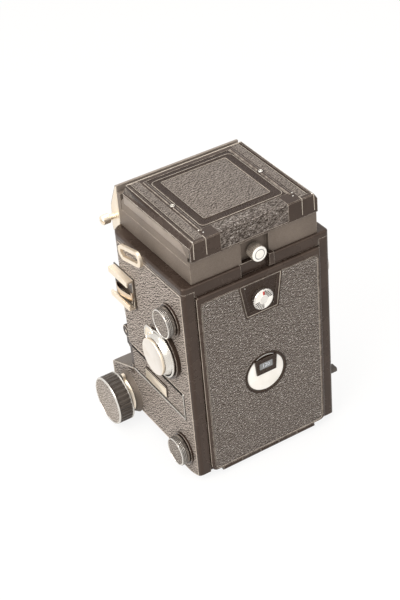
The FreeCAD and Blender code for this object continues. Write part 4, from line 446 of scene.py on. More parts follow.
def smooth(mesh, sharp):
    mesh.polygons.foreach_set("use_smooth", [True] * len(mesh.polygons))
    mesh.set_sharp_from_angle(angle=math.radians(sharp))


def closeMesh(form, looks, sharp=32):
    bmesh.ops.remove_doubles(form, verts=form.verts, dist=0.000001)
    bmesh.ops.recalc_face_normals(form, faces=form.faces)
    mesh = bpy.data.meshes.new(looks[0])
    form.to_mesh(mesh)
    form.free()
    smooth(mesh, sharp)
    for look in looks:
        mesh.materials.append(finish[look])
    return mesh


def turnMesh(looks, axis, centre, profile, steps=72, base=0.0):
    form = bmesh.new()
    turnInto(form, profile, axis, centre, steps, base)
    return closeMesh(form, looks)


def plateMesh(look, axis, *plates):  # each plate: outline, low, high and its bevel or 0
    form = bmesh.new()
    for outline, *levels in plates:
        plateInto(form, outline, axis, *levels)
    return closeMesh(form, [look])


def joinMeshes(name, meshes):
    form = bmesh.new()
    used = []
    for mesh in meshes:
        first = len(form.faces)
        form.from_mesh(mesh)
        form.faces.ensure_lookup_table()
        for face in form.faces[first:]:
            material = mesh.materials[face.material_index]
            if material not in used:
                used.append(material)
            face.material_index = used.index(material)
    joined = bpy.data.meshes.new(name)
    form.to_mesh(joined)
    form.free()
    for material in used:
        joined.materials.append(material)
    return joined


def addPiece(name, meshes, body, slot, *replaced):
    piece = bpy.data.objects.new(name, joinMeshes(name, meshes))
    scene.collection.objects.link(piece)
    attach(piece, body)
    if replaced:
        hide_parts(*replaced)
    return piece


def startTree(name, **inputs):
    tree = bpy.data.node_groups.new(name, "GeometryNodeTree")
    tree.is_modifier = True
    geometry = "NodeSocketGeometry"
    tree.interface.new_socket(name="Geometry", in_out="INPUT", socket_type=geometry)
    kinds = {int: "Int", float: "Float", tuple: "Vector"}
    for label, value in dict(inputs, Material="Material").items():  # a text names the socket's kind
        kind = value if isinstance(value, str) else kinds[type(value)]
        socket = tree.interface.new_socket(name=label, in_out="INPUT", socket_type="NodeSocket" + kind)
        if kind != value:
            socket.default_value = value
    tree.interface.new_socket(name="Geometry", in_out="OUTPUT", socket_type=geometry)
    return tree, addNode(tree, "NodeGroupInput").outputs


def endTree(tree, given, geometry):
    real = addNode(tree, "GeometryNodeRealizeInstances", geometry)
    paint = fill(addNode(tree, "GeometryNodeSetMaterial"), Geometry=real.outputs[0], Material=given["Material"])
    addNode(tree, "NodeGroupOutput", paint.outputs[0])
    return tree


def placeCopies(tree, given, points, turn):  # a copy of the part at each point
    part = fill(addNode(tree, "GeometryNodeObjectInfo", transform_space="ORIGINAL"), Object=given["Part"])
    copies = addNode(tree, "GeometryNodeInstanceOnPoints")
    return fill(copies, Points=points, Instance=part.outputs["Geometry"], Rotation=turn).outputs["Instances"]


def makeRingTree():  # parts set round the X axis, the first one towards +Y
    tree, given = startTree("partsInRing", Part="Object", Count=12, Radius=0.01, Start=0.0, Sweep=6.2831853)
    line = fill(addNode(tree, "GeometryNodeMeshLine"), Offset=(0, 0, 0), Count=given["Count"])
    index = addNode(tree, "GeometryNodeInputIndex").outputs[0]
    share = mathNode(tree, "DIVIDE", index, given["Count"])
    turned = mathNode(tree, "MULTIPLY", share, given["Sweep"])
    angle = mathNode(tree, "ADD", turned, given["Start"])
    across, up = (mathNode(tree, "MULTIPLY", mathNode(tree, wave, angle), given["Radius"])
        for wave in ("COSINE", "SINE"))
    spot = addNode(tree, "ShaderNodeCombineXYZ", None, across, up).outputs[0]
    spread = fill(addNode(tree, "GeometryNodeSetPosition"), Geometry=line.outputs[0], Position=spot)
    outward = addNode(tree, "ShaderNodeCombineXYZ", angle).outputs[0]
    turn = addNode(tree, "FunctionNodeEulerToRotation", outward).outputs[0]
    return endTree(tree, given, placeCopies(tree, given, spread.outputs[0], turn))


def makeRowTree():  # parts in a straight row
    tree, given = startTree("partsInRow", Part="Object", Count=5, Step=(0.001, 0.0, 0.0))
    line = fill(addNode(tree, "GeometryNodeMeshLine"), Count=given["Count"], Offset=given["Step"])
    return endTree(tree, given, placeCopies(tree, given, line.outputs[0], None))


def makeStudTree():  # a part at every point of the mesh
    tree, given = startTree("partsAtPoints", Part="Object", Turn="Rotation")
    return endTree(tree, given, placeCopies(tree, given, given["Geometry"], given["Turn"]))


def makeBeadTree():  # a round bead along a line of points, with rounded corners
    tree, given = startTree("beadAlongLine", Corner=0.001, Radius=0.0003, Sides=8)
    line = addNode(tree, "GeometryNodeMeshToCurve", given["Geometry"]).outputs[0]
    bend = fill(addNode(tree, "GeometryNodeFilletCurve", mode="POLY"), Curve=line, Count=5, Limit_Radius=True,
        Radius=given["Corner"])
    ring = fill(addNode(tree, "GeometryNodeCurvePrimitiveCircle"), Resolution=given["Sides"], Radius=given["Radius"])
    tube = fill(addNode(tree, "GeometryNodeCurveToMesh"), Fill_Caps=True, Curve=bend.outputs[0],
        Profile_Curve=ring.outputs["Curve"])
    return endTree(tree, given, tube.outputs[0])


ringTree, rowTree, studTree, beadTree = makeRingTree(), makeRowTree(), makeStudTree(), makeBeadTree()


def meshFrom(maker):  # the mesh that an object's modifiers or curve make; the object goes
    bpy.context.view_layer.update()
    mesh = bpy.data.meshes.new_from_object(maker.evaluated_get(bpy.context.evaluated_depsgraph_get()))
    bpy.data.objects.remove(maker)
    return mesh


def lineMesh(points, closed):
    edges = [(i, i + 1) for i in range(len(points) - 1)] + ([(len(points) - 1, 0)] if closed else [])
    mesh = bpy.data.meshes.new("line")
    mesh.from_pydata([Vector(p) * mm for p in points], edges, [])
    return mesh


def growMesh(tree, points, closed=False, place=Matrix.Identity(4), **values):
    maker = bpy.data.objects.new(tree.name, lineMesh(points, closed))
    scene.collection.objects.link(maker)
    grow = maker.modifiers.new("grow", "NODES")
    grow.node_group = tree
    for item in tree.interface.items_tree:
        if item.in_out == "INPUT" and item.name in values:
            grow[item.identifier] = values[item.name]
    mesh = meshFrom(maker)
    mesh.transform(place)
    smooth(mesh, 38)
    return mesh


def beadMesh(points, look, radius, corner=0.0, closed=False, sides=8):
    return growMesh(beadTree, points, closed, Material=finish[look], Corner=corner * mm, Radius=radius * mm,
        Sides=sides)


def withPart(tree, pattern, place=Matrix.Identity(4), points=(), **values):  # copies of a pattern mesh
    part = bpy.data.objects.new("part", pattern)
    scene.collection.objects.link(part)
    mesh = growMesh(tree, points, place=place, Part=part, Material=pattern.materials[0], **values)
    bpy.data.objects.remove(part)
    return mesh


facing, textTurn = {}, {}
for side, angle, axis in (("left", 0, "Z"), ("front", -90, "Z"), ("rear", 90, "Z"), ("top", -90, "Y"),
        ("under", 90, "Y")):
    facing[side] = Matrix.Rotation(math.radians(angle), 4, axis)
for side, angle in (("front", 0), ("rear", 180), ("right", -90)):
    textTurn[side] = Matrix.Rotation(math.radians(angle), 4, "Z") @ Matrix.Rotation(math.pi / 2, 4, "X")


def setAt(side, x, y, z):  # the part's X axis points out of that side
    return Matrix.Translation(Vector((x, y, z)) * mm) @ facing[side]


def ribRing(look, outline, long, place, count, radius):  # ribs round a knob
    return withPart(ringTree, plateMesh(look, "X", (outline, 0, long)), place, Count=count, Radius=radius * mm)


def studMesh(look, points, side, profile, steps=20):  # small turned heads at these points
    head = turnMesh([look], "X", (0, 0), profile, steps)
    return withPart(studTree, head, points=points, Turn=facing[side].to_euler())


def screwMeshes(points, side, radius=1.3, rise=0.35):  # slotted heads
    profile = [(-0.3, 0), (-0.3, radius), (rise * 0.4, radius), (rise, radius * 0.62), (rise, 0)]
    wide, deep = radius * 0.8, 0.14
    # the dark slot standing on each head is painted shade where the real slot is cut
    slot = plateMesh("ink", "X", (boxOutline(-wide, wide, -deep, deep), rise * 0.5, rise + 0.02))
    slotShades = withPart(studTree, slot, points=points, Turn=facing[side].to_euler())
    return [studMesh("chrome", points, side, profile), slotShades]


def figureMesh(text, size, x, y, z, turn):
    curve = bpy.data.curves.new(text, "FONT")
    curve.body, curve.size, curve.extrude = text, size * mm, 0.00003
    curve.align_x, curve.align_y, curve.resolution_u = "CENTER", "CENTER", 2
    writer = bpy.data.objects.new(text, curve)
    scene.collection.objects.link(writer)
    mesh = meshFrom(writer)
    mesh.transform(Matrix.Translation(Vector((x, y, z)) * mm) @ turn)
    mesh.materials.clear()
    mesh.materials.append(finish["pale"])
    return mesh


def boxOf(node):  # a node's box in millimetres
    return [Vector(corner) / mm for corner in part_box(node)]


def roundOf(node, along):  # a round node's ends along axis 0 or 1, its centre across it and its radius
    low, high = boxOf(node)
    middle, across = (low + high) / 2, 1 - along
    return low[along], high[along], (middle[across], middle.z), (high[across] - low[across]) / 2


print("makers ready")


bothSides = ((1, "left"), (-1, "right"))
sheetLow, sheetHigh = 48.8, 49.08  # the side coverings, out from the middle


def span(side, a, b):  # from a to b on one side of the camera, in rising order
    return sorted((side * a, side * b))


spoolKnob = {"skin": 8.15, "skinDeep": 0.35, "rings": 3, "ringStep": 0.95, "ribs": 60, "shaft": 3.5, "pin": 2.8}


def makeSpoolKnob(node, body):
    inner, face, centre, radius = roundOf(node, 0)
    skin, deep, rings, step, ribCount, shaft, pin = spoolKnob.values()
    end = inner - face
    profile = [(end, 0), (end, pin), (end + 3.5, pin), (end + 3.5, shaft), (-5.2, shaft), (-5.2, radius - 0.9),
        (-4.9, radius - 0.5), (-3.6, radius - 0.5), (-3.5, radius - 0.15)]
    for i in reversed(range(rings)):  # bright rings with dark grooves between
        at = -0.75 - step * i
        profile += [(at - 0.4, radius - 0.4), (at - 0.14, radius - 0.02, 2), (at + 0.06, radius - 0.02)]
    profile += [(-0.3, radius - 0.25, 2), (0, radius - 0.65, 2), (0, skin + 0.1, 2), (-deep, skin, 1),
        (-deep + 0.1, 0, 1)]
    core = turnMesh(["plastic", "knobSkin", "chrome"], "X", centre, profile, 96, face)
    ribs = ribRing("enamel", taper(-0.1, 0.26, 0.42, 0.12), 1.25, setAt("left", face - 4.88, *centre), ribCount,
        radius - 0.55)
    addPiece(node + "_dressed", [core, ribs], body, "black_paint", node)


makeSpoolKnob("spool_knob_upper", "upper_spool_knob")
makeSpoolKnob("spool_knob_lower", "lower_spool_knob")

focusKnob = {"bore": 3.0, "flutes": 30, "core": 15.15, "rib": 0.62, "skin": 14.75}


def makeFocusKnob(side, name):
    node = "focus_knob_" + name
    low, high, centre, radius = roundOf(node, 0)
    inner = low if side > 0 else high
    bore, flutes, core, tall, skin = focusKnob.values()
    steps = [(8, 0), (8, bore), (0, bore), (0, core - 1), (0.3, radius - 0.5), (0.7, radius - 0.05, 3),
        (1.5, radius - 0.05, 3), (1.75, core), (9.4, core), (9.6, radius - 0.1), (10.3, radius, 2),
        (10.8, radius - 0.3, 2), (11.1, radius - 0.75, 2), (11.1, skin + 0.15, 2), (10.8, skin, 1),
        (10.65, skin - 0.5, 1), (10.75, 0, 1)]
    body = turnMesh(["plastic", "focusSkin", "chrome", "satin"], "X", centre,
        [(side * along, *rest) for along, *rest in steps], 120, inner)
    outline = [(-0.15, -1.05), (tall * 0.6, -0.8), (tall, -0.4), (tall, 0.4), (tall * 0.6, 0.8), (-0.15, 1.05)]
    start = inner + (1.7 if side > 0 else -9.3)
    ribs = ribRing("plastic", outline, 7.9, setAt("left", start, *centre), flutes, core)
    addPiece(node + "_dressed", [body, ribs], "focus_drive", "black_plastic", node)


for side, name in bothSides:
    makeFocusKnob(side, name)
print("side knobs ready")

lockDial = {"shaft": 4.0, "flange": 15.0, "lobe": (5.4, 90.6), "lobeRadius": 6.2, "face": 11.3, "foot": 12.9,
    "proud": 0.9}


def makeLockDial():
    low, high = boxOf("lens_lock_dial")
    top = high.x
    shaft, flange, (lobeY, lobeZ), lobe, face, foot, proud = lockDial.values()
    form = bmesh.new()
    # the ink ring in the groove under the flange is painted shade
    turnInto(form, [(low.x - top, 0), (low.x - top, shaft), (-5.35, shaft), (-5.35, flange - 0.6), (-5.0, flange),
        (-4.3, flange), (-3.9, flange - 0.45), (-3.8, flange - 0.9), (-4.2, foot + 1.1, 2), (-4.2, foot + 0.3),
        (-3.6, foot), (-1.6, face + 0.55), (-1.3, face + 0.2), (-0.5, face + 0.35, 3), (proud - 0.4, face + 0.35, 3),
        (proud, face, 1), (proud - 0.1, face - 0.4, 1), (proud, 0, 1)], "X", (high.y - 16.5, low.z + 16.5), 120, top)
    turnInto(form, [(-5.35, 0), (-5.35, lobe - 0.4), (-5.0, lobe), (-4.0, lobe), (-3.5, lobe - 0.4),
        (-3.5, lobe - 0.9), (-4.0, lobe - 1.2, 3), (-3.95, 2.4, 3), (-3.6, 2.2), (-3.6, 1.5, 3), (-3.9, 1.2, 3),
        (-3.85, 0, 3)], "X", (lobeY, lobeZ), 72, top)
    dial = closeMesh(form, ["chrome", "dial", "ink", "cream"])
    mark = studMesh("red", [(top - 3.95, lobeY + 2.4, lobeZ + 1.6)], "left",
        [(0, 0), (0, 0.5), (0.12, 0.4), (0.12, 0)])
    addPiece("lens_lock_dial_dressed", [dial, mark], "lens_lock", "polished_metal", "lens_lock_dial")


makeLockDial()

indexStrip = {"low": (-14.8, 44.2), "high": (9.6, 51.2), "face": 49.2, "marks": 17, "step": 1.35}


def makeIndexStrip():
    (y0, z0), (y1, z1), face, count, step = indexStrip.values()
    plate = plateMesh("cream", "X", (roundedOutline(y0, y1, z0, z1, 0.7, 4), face - 0.1, face + 0.12, 0.06))
    mark = plateMesh("ink", "X", (boxOutline(-0.08, 0.08, -0.5, 0.5), 0, 0.02))
    marks = withPart(rowTree, mark, setAt("left", face + 0.12, y0 + 1.4, z1 - 0.8), Count=count,
        Step=Vector((0, step, 0)) * mm)
    addPiece("index_strip_plate", [plate, marks], "camera_body", "polished_metal")


makeIndexStrip()

shoe = {"floor": 1.0, "lip": 1.2, "reach": 3.6, "backing": (-39.6, -14.9, 94.0, 116.0), "backFace": 49.35,
    "leaf": [(-37.6, 50.3), (-33.5, 51.9), (-28.5, 52.3), (-22.0, 51.2), (-18.6, 50.3)], "thick": 0.35}


def makeShoe():  # two rails, open at both ends, on a dark backing plate
    low, high = boxOf("accessory_shoe")
    floor, lip, reach, backing, backFace, leaf, thick = shoe.values()
    x0, x1, inside = low.x + backFace - 49.0, high.x, low.x + floor
    outline = [(x0, low.z), (x1, low.z), (x1, low.z + reach), (x1 - lip, low.z + reach), (x1 - lip, low.z + lip),
        (inside, low.z + lip), (inside, high.z - lip), (x1 - lip, high.z - lip), (x1 - lip, high.z - reach),
        (x1, high.z - reach), (x1, high.z), (x0, high.z)]
    rails = plateMesh("cream", "Y", (outline, low.y, high.y, 0.25))
    curve = [(x, y) for y, x in leaf] + [(x - thick, y) for y, x in reversed(leaf)]
    stop = boxOutline(inside, inside + 1.3, high.y - 1.0, high.y)
    spring = plateMesh("brass", "Z", (curve, low.z + 4.2, low.z + 8.4), (stop, low.z + 8.0, high.z - 8.6, 0.15))
    # the dark floor between the rails is painted shade inside the shoe
    paintedShadeFloor = roundedOutline(low.y + 0.1, high.y - 0.1, low.z + lip + 0.05, high.z - lip - 0.05, 0.3, 2)
    back = plateMesh("gloss", "X", (roundedOutline(*backing, 0.8, 3), 48.95, backFace, 0.1),
        (paintedShadeFloor, inside - 0.05, inside + 0.08))
    places = [(inside + 0.08, y, z) for y in (-36.0, -19.5) for z in (98.2, 111.8)]
    screws = screwMeshes(places, "left", 0.95, 0.4)
    addPiece("accessory_shoe_dressed", [rails, spring, back] + screws, "camera_body", "polished_metal",
        "accessory_shoe")


makeShoe()

sideTrim = {"radius": 0.36, "rear": 39.35, "inset": 0.37, "spool": 25.6, "lobe": 16.0, "curve": 32.0, "foot": 9.3,
    "bed": -61.0, "corner": 4.7, "bedTop": 27.9, "cheekTop": 37.0, "front": -39.0, "top": 134.9}


def trimPath(x):
    _, rear, inset, spool, lobe, curve, foot, bed, corner, bedTop, cheekTop, front, top = sideTrim.values()
    lean = math.degrees(math.acos(min((rear - spool) / (curve - inset), 1)))
    reach = math.degrees(math.asin((lobe - foot - inset) / (lobe - inset)))
    line = [(rear, top)] + arc((spool, curve), curve - inset, -lean, -90)
    line += arc((spool, lobe), lobe - inset, -90, -180 + reach, 12)[1:]
    line += arc((bed + corner, foot + corner), corner - inset, -90, -180, 5)
    return [(x, y, z) for y, z in line + [(bed + inset, bedTop), (front + 7.6, cheekTop + 3.2)]]


topEdge = {"low": 132.7, "high": 134.85, "front": -30.8, "rear": 39.1}
for side, name in bothSides:
    # a pale bead along the edge of the side leather: a painted highlight
    bead = beadMesh(trimPath(side * 48.9), "brightEdge", sideTrim["radius"], 0.2)
    addPiece(name + "_side_trim", [bead], "camera_body", "black_paint")
    low, high, front, rear = topEdge.values()  # the covering reaches up to the top plate
    sheet = plateMesh("sideSkin", "X", (boxOutline(front, rear, low, high), *span(side, sheetLow, sheetHigh)))
    # a painted highlight along the top edge, and a dark gloss line just below it as painted shade
    lines = [beadMesh([(side * 48.95, front, z), (side * 48.95, rear, z)], look, size)
        for z, look, size in ((134.9, "brightEdge", 0.26), (133.7, "gloss", 0.22))]
    addPiece(name + "_top_edge", [sheet] + lines, "camera_body", "covering")

channelTrim = {"front": -30.5, "rear": 30.2, "low": 40.9, "high": 60.4, "out": 48.85, "edge": 39.0, "shade": 49.12}


def makeChannelTrim():
    front, rear, low, high, out, edge, shadeHigh = channelTrim.values()
    # dark plates under the upper edge of the channel and behind its rear end: painted shade
    shade = plateMesh("ink", "X", (boxOutline(front + 1, rear + 1.6, high - 2.0, high + 0.3), sheetLow, shadeHigh),
        (boxOutline(rear + 0.5, rear + 1.5, low, high - 2.1), sheetLow, shadeHigh))
    # a pale satin bead along the rear and lower edges and a pale enamel bead on the upper edge: painted highlights
    beads = [beadMesh([(out, rear, high - 1.0), (out, rear, low), (out, front, low)], "satin", 0.42, 0.6),
        beadMesh([(49.0, y, high + 0.5) for y in (front + 1, rear + 1.6)], "brightEdge", 0.26),
        beadMesh([(x, rear + 0.6, high - 0.4) for x in (48.7, 49.35)], "white", 0.55, sides=12)]
    sheet = plateMesh("sideSkin", "X", (boxOutline(rear, edge, low, high), sheetLow, sheetHigh),
        (boxOutline(28.3, 30.35, 41.7, 59.4), 47.7, 48.28))
    addPiece("channel_end_leather", [sheet], "camera_body", "covering")
    addPiece("channel_trim", [shade] + beads, "camera_body", "black_paint")


makeChannelTrim()
print("left side ready")

hoodLeather = {"front": -31.1, "high": 168.8, "slope": 0.02052, "deep": 0.4, "strip": (31.8, 36.2, -30.2, 39.0),
    "panel": (21.5, -21.0, 25.0), "flap": 22.0, "flapLow": 156.5, "rear": 42.0, "slopeFoot": 163.95}


def lidTop(y):
    return hoodLeather["high"] - (y - hoodLeather["front"]) * hoodLeather["slope"]


def layOnLid(look, outline, low, high, bevel, heightAt):  # a sheet that follows the lid's slope
    form = bmesh.new()
    plateInto(form, outline, "Z", low, high, bevel)
    for vert in form.verts:
        vert.co.z += heightAt(vert.co / mm) * mm
    return closeMesh(form, [look])


def slopeHeight(point):
    share = (abs(point.x) - 39.3) / 2.25
    return (1 - share) * lidTop(point.y) + share * hoodLeather["slopeFoot"]


# glossy bands on the sloping edges, between the top and the side walls
bands = [layOnLid("gloss", roundedOutline(*span(side, 39.35, 41.5), -30.6, 41.4, 0.3, 2), 0.0, 0.1, 0.0, slopeHeight)
    for side, _ in bothSides]
addPiece("lid_slopes", bands, "hood_lid", "gloss_black")


def makeLidStrips():
    x0, x1, y0, y1 = hoodLeather["strip"]
    deep, rear, half, foot = (hoodLeather[key] for key in ("deep", "rear", "flap", "flapLow"))
    strips = [layOnLid("lidSkin", roundedOutline(*span(side, x0, x1), y0, y1, 0.8, 3), -deep + 0.02, -0.04, 0.15,
        lambda point: lidTop(point.y)) for side, _ in bothSides]
    top, start = lidTop(rear), 32.7
    outer = [(start, lidTop(start) - 0.04), (rear - 1.1, top - 0.04)]
    outer += [(rear - 1.1 + 0.98 * math.sin(a), top - 1.1 + 1.05 * math.cos(a)) for a in (0.4, 0.8, 1.2)]
    outer += [(rear - 0.02, top - 1.4), (rear - 0.02, foot)]
    inner = [(rear - deep + 0.02, foot), (rear - deep + 0.02, top - 0.9), (rear - 1.0, top - deep),
        (start, lidTop(start) - deep)]
    form = bmesh.new()
    plateInto(form, outer + inner, "X", -half, half)
    flap = closeMesh(form, ["flapSkin"], 50)
    addPiece("lid_leathers", strips + [flap], "hood_lid", "covering")


makeLidStrips()

half, front, rear = hoodLeather["panel"]
panel = [layOnLid("lidSkin", roundedOutline(-half, half, front, rear, 1.0, 3), -0.38, -0.02, 0.2,
    lambda point: lidTop(point.y))]
# frames round the finder panel and the finder door: the pale beads are painted highlights, the dark gloss beads
# painted shade
for look, box, down, radius, corner in (
    ("brightEdge", (-half - 0.3, half + 0.3, front - 0.3, rear + 0.3), 0.02, 0.15, 1.2),
    ("gloss", (-half - 0.8, half + 0.8, front - 0.8, rear + 0.8), 0.12, 0.4, 1.6),
    ("brightEdge", (-27.0, 27.0, -24.4, 31.0), 0.1, 0.2, 3.0),
    ("gloss", (-26.4, 26.4, -23.8, 30.4), 0.16, 0.42, 2.6),
):
    panel.append(beadMesh([(x, y, lidTop(y) - down) for x, y in boxOutline(*box)], look, radius, corner, True))
addPiece("finder_panel", panel, "finder_door", "covering")

lidPins = {"ringAt": (29.35, 4.2), "ring": 1.35, "lineFoot": 163.9, "rearLine": 41.9, "rearFoot": 157.0}


def makeLidBeads():
    (x, y), ring, lineFoot, back, foot = lidPins.values()
    rise = lidTop(y) + 0.5
    turned = []
    for look, steps, profile in (
        ("satin", 28, [(-0.3, ring), (0.15, ring), (0.3, ring - 0.2), (0.15, ring - 0.5), (-0.3, ring - 0.5)]),
        ("satin", 16, [(-0.3, 0), (-0.3, 0.5), (0.1, 0.5), (0.25, 0.3), (0.25, 0)]),
        ("gloss", 32, [(-0.9, 2.3), (-0.05, 2.1), (0.05, 1.8), (-0.05, 1.3), (-0.9, 1.3)]),
    ):
        turned += [turnMesh([look], "Z", (side * x, y), profile, steps, rise) for side, _ in bothSides]
    pins = ((30.6, 33.6, 0.2), (29.3, 36.4, 0.05), (39.0, 40.6, -0.1))
    spots = [(side * px, py, lidTop(py) + up) for side, _ in bothSides for px, py, up in pins]
    heads = studMesh("chrome", spots, "top", [(-0.3, 0), (-0.3, 0.45), (0.1, 0.42), (0.28, 0.22), (0.28, 0)], 14)
    beads = []
    for x, y0, y1, up, look, size in (  # straight lines along the lid, on both sides: the pale ones are painted highlights, the dark gloss one is painted shade
        (30.1, -26.6, 33.6, 0.34, "brightEdge", 0.14), (39.2, -30.6, 41.5, -0.1, "brightEdge", 0.17),
        (41.45, -30.7, 41.6, None, "brightEdge", 0.25), (36.6, -30.0, 39.4, -0.12, "brightEdge", 0.15),
        (37.9, -30.2, 39.6, -0.42, "gloss", 0.55),
    ):
        beads += [beadMesh([(side * x, y, lineFoot if up is None else lidTop(y) + up) for y in (y0, y1)], look, size)
            for side, _ in bothSides]
    for points, size in (  # lines that turn down over the rear edge: painted highlights
        ([(31.4, 38.6, lidTop(38.6) - 0.05), (31.4, back, lidTop(41.7) - 0.1), (31.4, back, foot)], 0.24),
        ([(39.2, 38.6, lidTop(38.6) - 0.1), (39.3, back, lidTop(41.7) - 0.2), (39.6, back, foot)], 0.27),
    ):
        beads += [beadMesh([(side * x, y, z) for x, y, z in points], "brightEdge", size, 0.8)
            for side, _ in bothSides]
    # a painted highlight along the lid's front edge
    across = [(x, -30.6, lidTop(-30.6) - 0.12) for x in (-39.2, 39.2)]
    beads.append(beadMesh(across, "brightEdge", 0.38))
    addPiece("lid_beads", turned + [heads] + beads, "hood_lid", "black_paint")


makeLidBeads()


def makeHoodKnob():
    inner, face, centre, radius = roundOf("hood_clamp_knob", 1)
    core = turnMesh(["cone", "white", "pane"], "Y", centre, [(inner - face, 0), (inner - face, 1.6), (-7.5, 1.6),
        (-7.5, radius - 0.8), (-7.1, radius - 0.4), (-1.1, radius - 0.4), (-0.9, radius - 0.2, 1),
        (-0.35, radius - 0.35, 1), (-0.05, radius - 0.9, 1), (0, radius - 1.3, 1), (-0.3, radius - 1.6, 2),
        (-0.3, radius - 2.1, 1), (-0.05, radius - 2.4, 1), (-0.05, 1.2, 1), (-0.25, 0.9, 1), (-0.2, 0, 1)], base=face)
    ribs = ribRing("cone", taper(-0.1, 0.42, 0.35, 0.28), 5.6, setAt("rear", centre[0], face - 6.9, centre[1]), 24,
        radius - 0.4)
    addPiece("hood_clamp_dressed", [core, ribs], "hood_clamp", "black_plastic", "hood_clamp_knob")


makeHoodKnob()

blockLow, blockHigh = boxOf("finder_block")
cheek = [(-39.4, 131.2), (-48.9, 131.2), (-49.4, 134.2), (-48.0, 148.9), (-40.2, 164.3), (-39.5, 165.0),
    (-38.9, 165.0), (-38.9, 141.2), (-39.4, 141.2)]  # the bare metal end of the finder block
wallBand = {"front": -30.6, "rear": 32.5, "low": 157.7, "high": 163.2}
front, rear, low, high = wallBand.values()
for side, name in bothSides:
    x = blockHigh.x if side > 0 else blockLow.x
    for part, look, outline, levels, bevel, slot in (
        ("_block_cheek", "cream", cheek, (x - side * 0.2, x + side * 0.25), 0.12, "grey_paint"),
        ("_hood_corner", "wall", boxOutline(32.6, 40.3, 157.6, 163.2), span(side, 40.6, 41.75), 0.0, "black_paint"),
        ("_wall_band", "paleWall", [(front, low), (rear + 5.0, low), (rear, high), (front, high)],
         span(side, 41.5, 41.78), 0.05, "grey_paint"),  # the paler upper band of the hood's side walls
    ):
        sheet = plateMesh(look, "X", (outline, *levels, bevel))
        addPiece(name + part, [sheet], "camera_body", slot)
print("hood ready")

doorPanel = {"outer": 44.0, "bead": 0.38, "half": 39.35, "low": 6.05, "high": 128.35}
outer, radius, half, low, high = doorPanel.values()
panel = boxOutline(-half, half, high, low)
# beads on the door: an enamel rim round the leather, pale beads as painted highlights, and a dark gloss bead round
# the dial plate as painted shade
lines = [
    ("enamel", outer, radius, 3.0, panel),
    ("brightEdge", outer, 0.13, 2.6, [(x * 0.985, z - math.copysign(0.55, z - 60)) for x, z in panel]),
    ("brightEdge", outer + 0.05, 0.16, 0.6, [(-10.3, 106.1), (10.3, 106.1), (13.7, 128.0), (-13.7, 128.0)]),
    ("gloss", outer - 0.1, 0.5, 0.6, [(-10.9, 105.5), (10.9, 105.5), (14.4, 128.6), (-14.4, 128.6)]),
]
beads = [beadMesh([(x, y, z) for x, z in outline], look, size, corner, True)
    for look, y, size, corner, outline in lines]
# pale beads along the door's side edges: painted highlights
beads += [beadMesh([(x, 43.1, 131.6), (x, 43.1, 9.0)], "brightEdge", 0.3) for x in (-41.1, 41.1)]
addPiece("door_beads", beads, "back_door", "black_paint")

filmWindow = {"disc": 12.2, "ring": (12.9, 14.5), "panes": (4.6, 2.4), "rise": 5.8}


def makeFilmWindow():
    back, _, centre, _ = roundOf("window_disc", 1)
    disc, (ringIn, ringOut), (wide, tall), rise = filmWindow.values()
    middle = centre[1] + rise
    plate = turnMesh(["white", "gloss"], "Y", centre, [(0.58, 0), (0.58, disc - 0.4), (0.4, disc),
        (0.15, disc + 0.3, 1), (0.15, ringIn, 1), (0.75, ringIn + 0.15, 1), (0.85, ringIn + 0.5, 1),
        (0.8, ringOut - 0.4, 1), (0.5, ringOut, 1), (0, ringOut, 1), (0, 0, 1)], 120, back)
    cap = plateMesh("gloss", "Y", (arc((0, centre[1]), 12.3, 126, 54, 12), back + 0.5, back + 0.72))
    pane = plateMesh("pane", "Y", (roundedOutline(-wide, wide, middle - tall, middle + tall, 0.6, 3), 44.3, 44.42))
    figures = figureMesh("120", 3.6, 0, 44.44, middle - 0.05, textTurn["rear"])
    addPiece("film_window", [plate, cap, pane, figures], "back_door", "gloss_black", "window_disc")


makeFilmWindow()

reminder = {"hub": 2.4, "edge": 48, "fans": ((12, 76, 6), (192, 266, 6)), "mark": (2.9, 5.8)}


def makeReminderDial():
    back, face, centre, radius = roundOf("reminder_dial", 1)
    face -= 0.12
    hub, edge, fans, (inner, outside) = reminder.values()
    form = turnMesh(["chrome", "white"], "Y", centre, [(back - face, 0), (back - face, 1.5), (-3.0, 1.5),
        (-3.0, radius - 0.3), (-0.6, radius - 0.3), (-0.15, radius - 0.6), (-0.15, radius - 0.9),
        (-0.25, radius - 1.0, 1), (-0.2, hub + 0.5, 1), (0, hub + 0.2), (0.1, hub - 0.2), (0.1, 0)], base=face)
    meshes = [form, ribRing("chrome", taper(-0.1, 0.24, 0.28, 0.12), 2.3,
        setAt("rear", centre[0], face - 2.9, centre[1]), edge, radius - 0.3)]
    marks = [("ink", taper(inner, 0.17, outside, 0.34), start, (end - start) * count / (count - 1), count)
        for start, end, count in fans]
    for look, outline, start, sweep, count in marks + [("red", taper(inner, 0.45, outside - 0.4, 0.6), 88, 360, 1)]:
        mark = plateMesh(look, "X", (outline, -0.1, 0.05))
        meshes.append(withPart(ringTree, mark, setAt("rear", centre[0], face - 0.2, centre[1]), Count=count,
            Radius=0.0, Start=math.radians(start), Sweep=math.radians(sweep)))
    addPiece("reminder_dial_dressed", meshes, "reminder_dial", "polished_metal", "reminder_dial")


makeReminderDial()

plateDots = {"face": 43.5, "at": [(-8.3, 108.7), (-9.4, 110.2), (10.2, 125.6)]}
dots = studMesh("white", [(x, plateDots["face"], z) for x, z in plateDots["at"]], "rear",
    [(-0.2, 0), (-0.2, 0.35), (0.12, 0.3), (0.2, 0)], 12)
addPiece("dial_plate_dots", [dots], "back_door", "gloss_black")
print("back door ready")


standardFittings = {"catchAt": (-55.2, 50.6), "catch": 4.4, "tabAt": (-55.4, 42.4), "side": 36.0, "tabFace": 38.9}


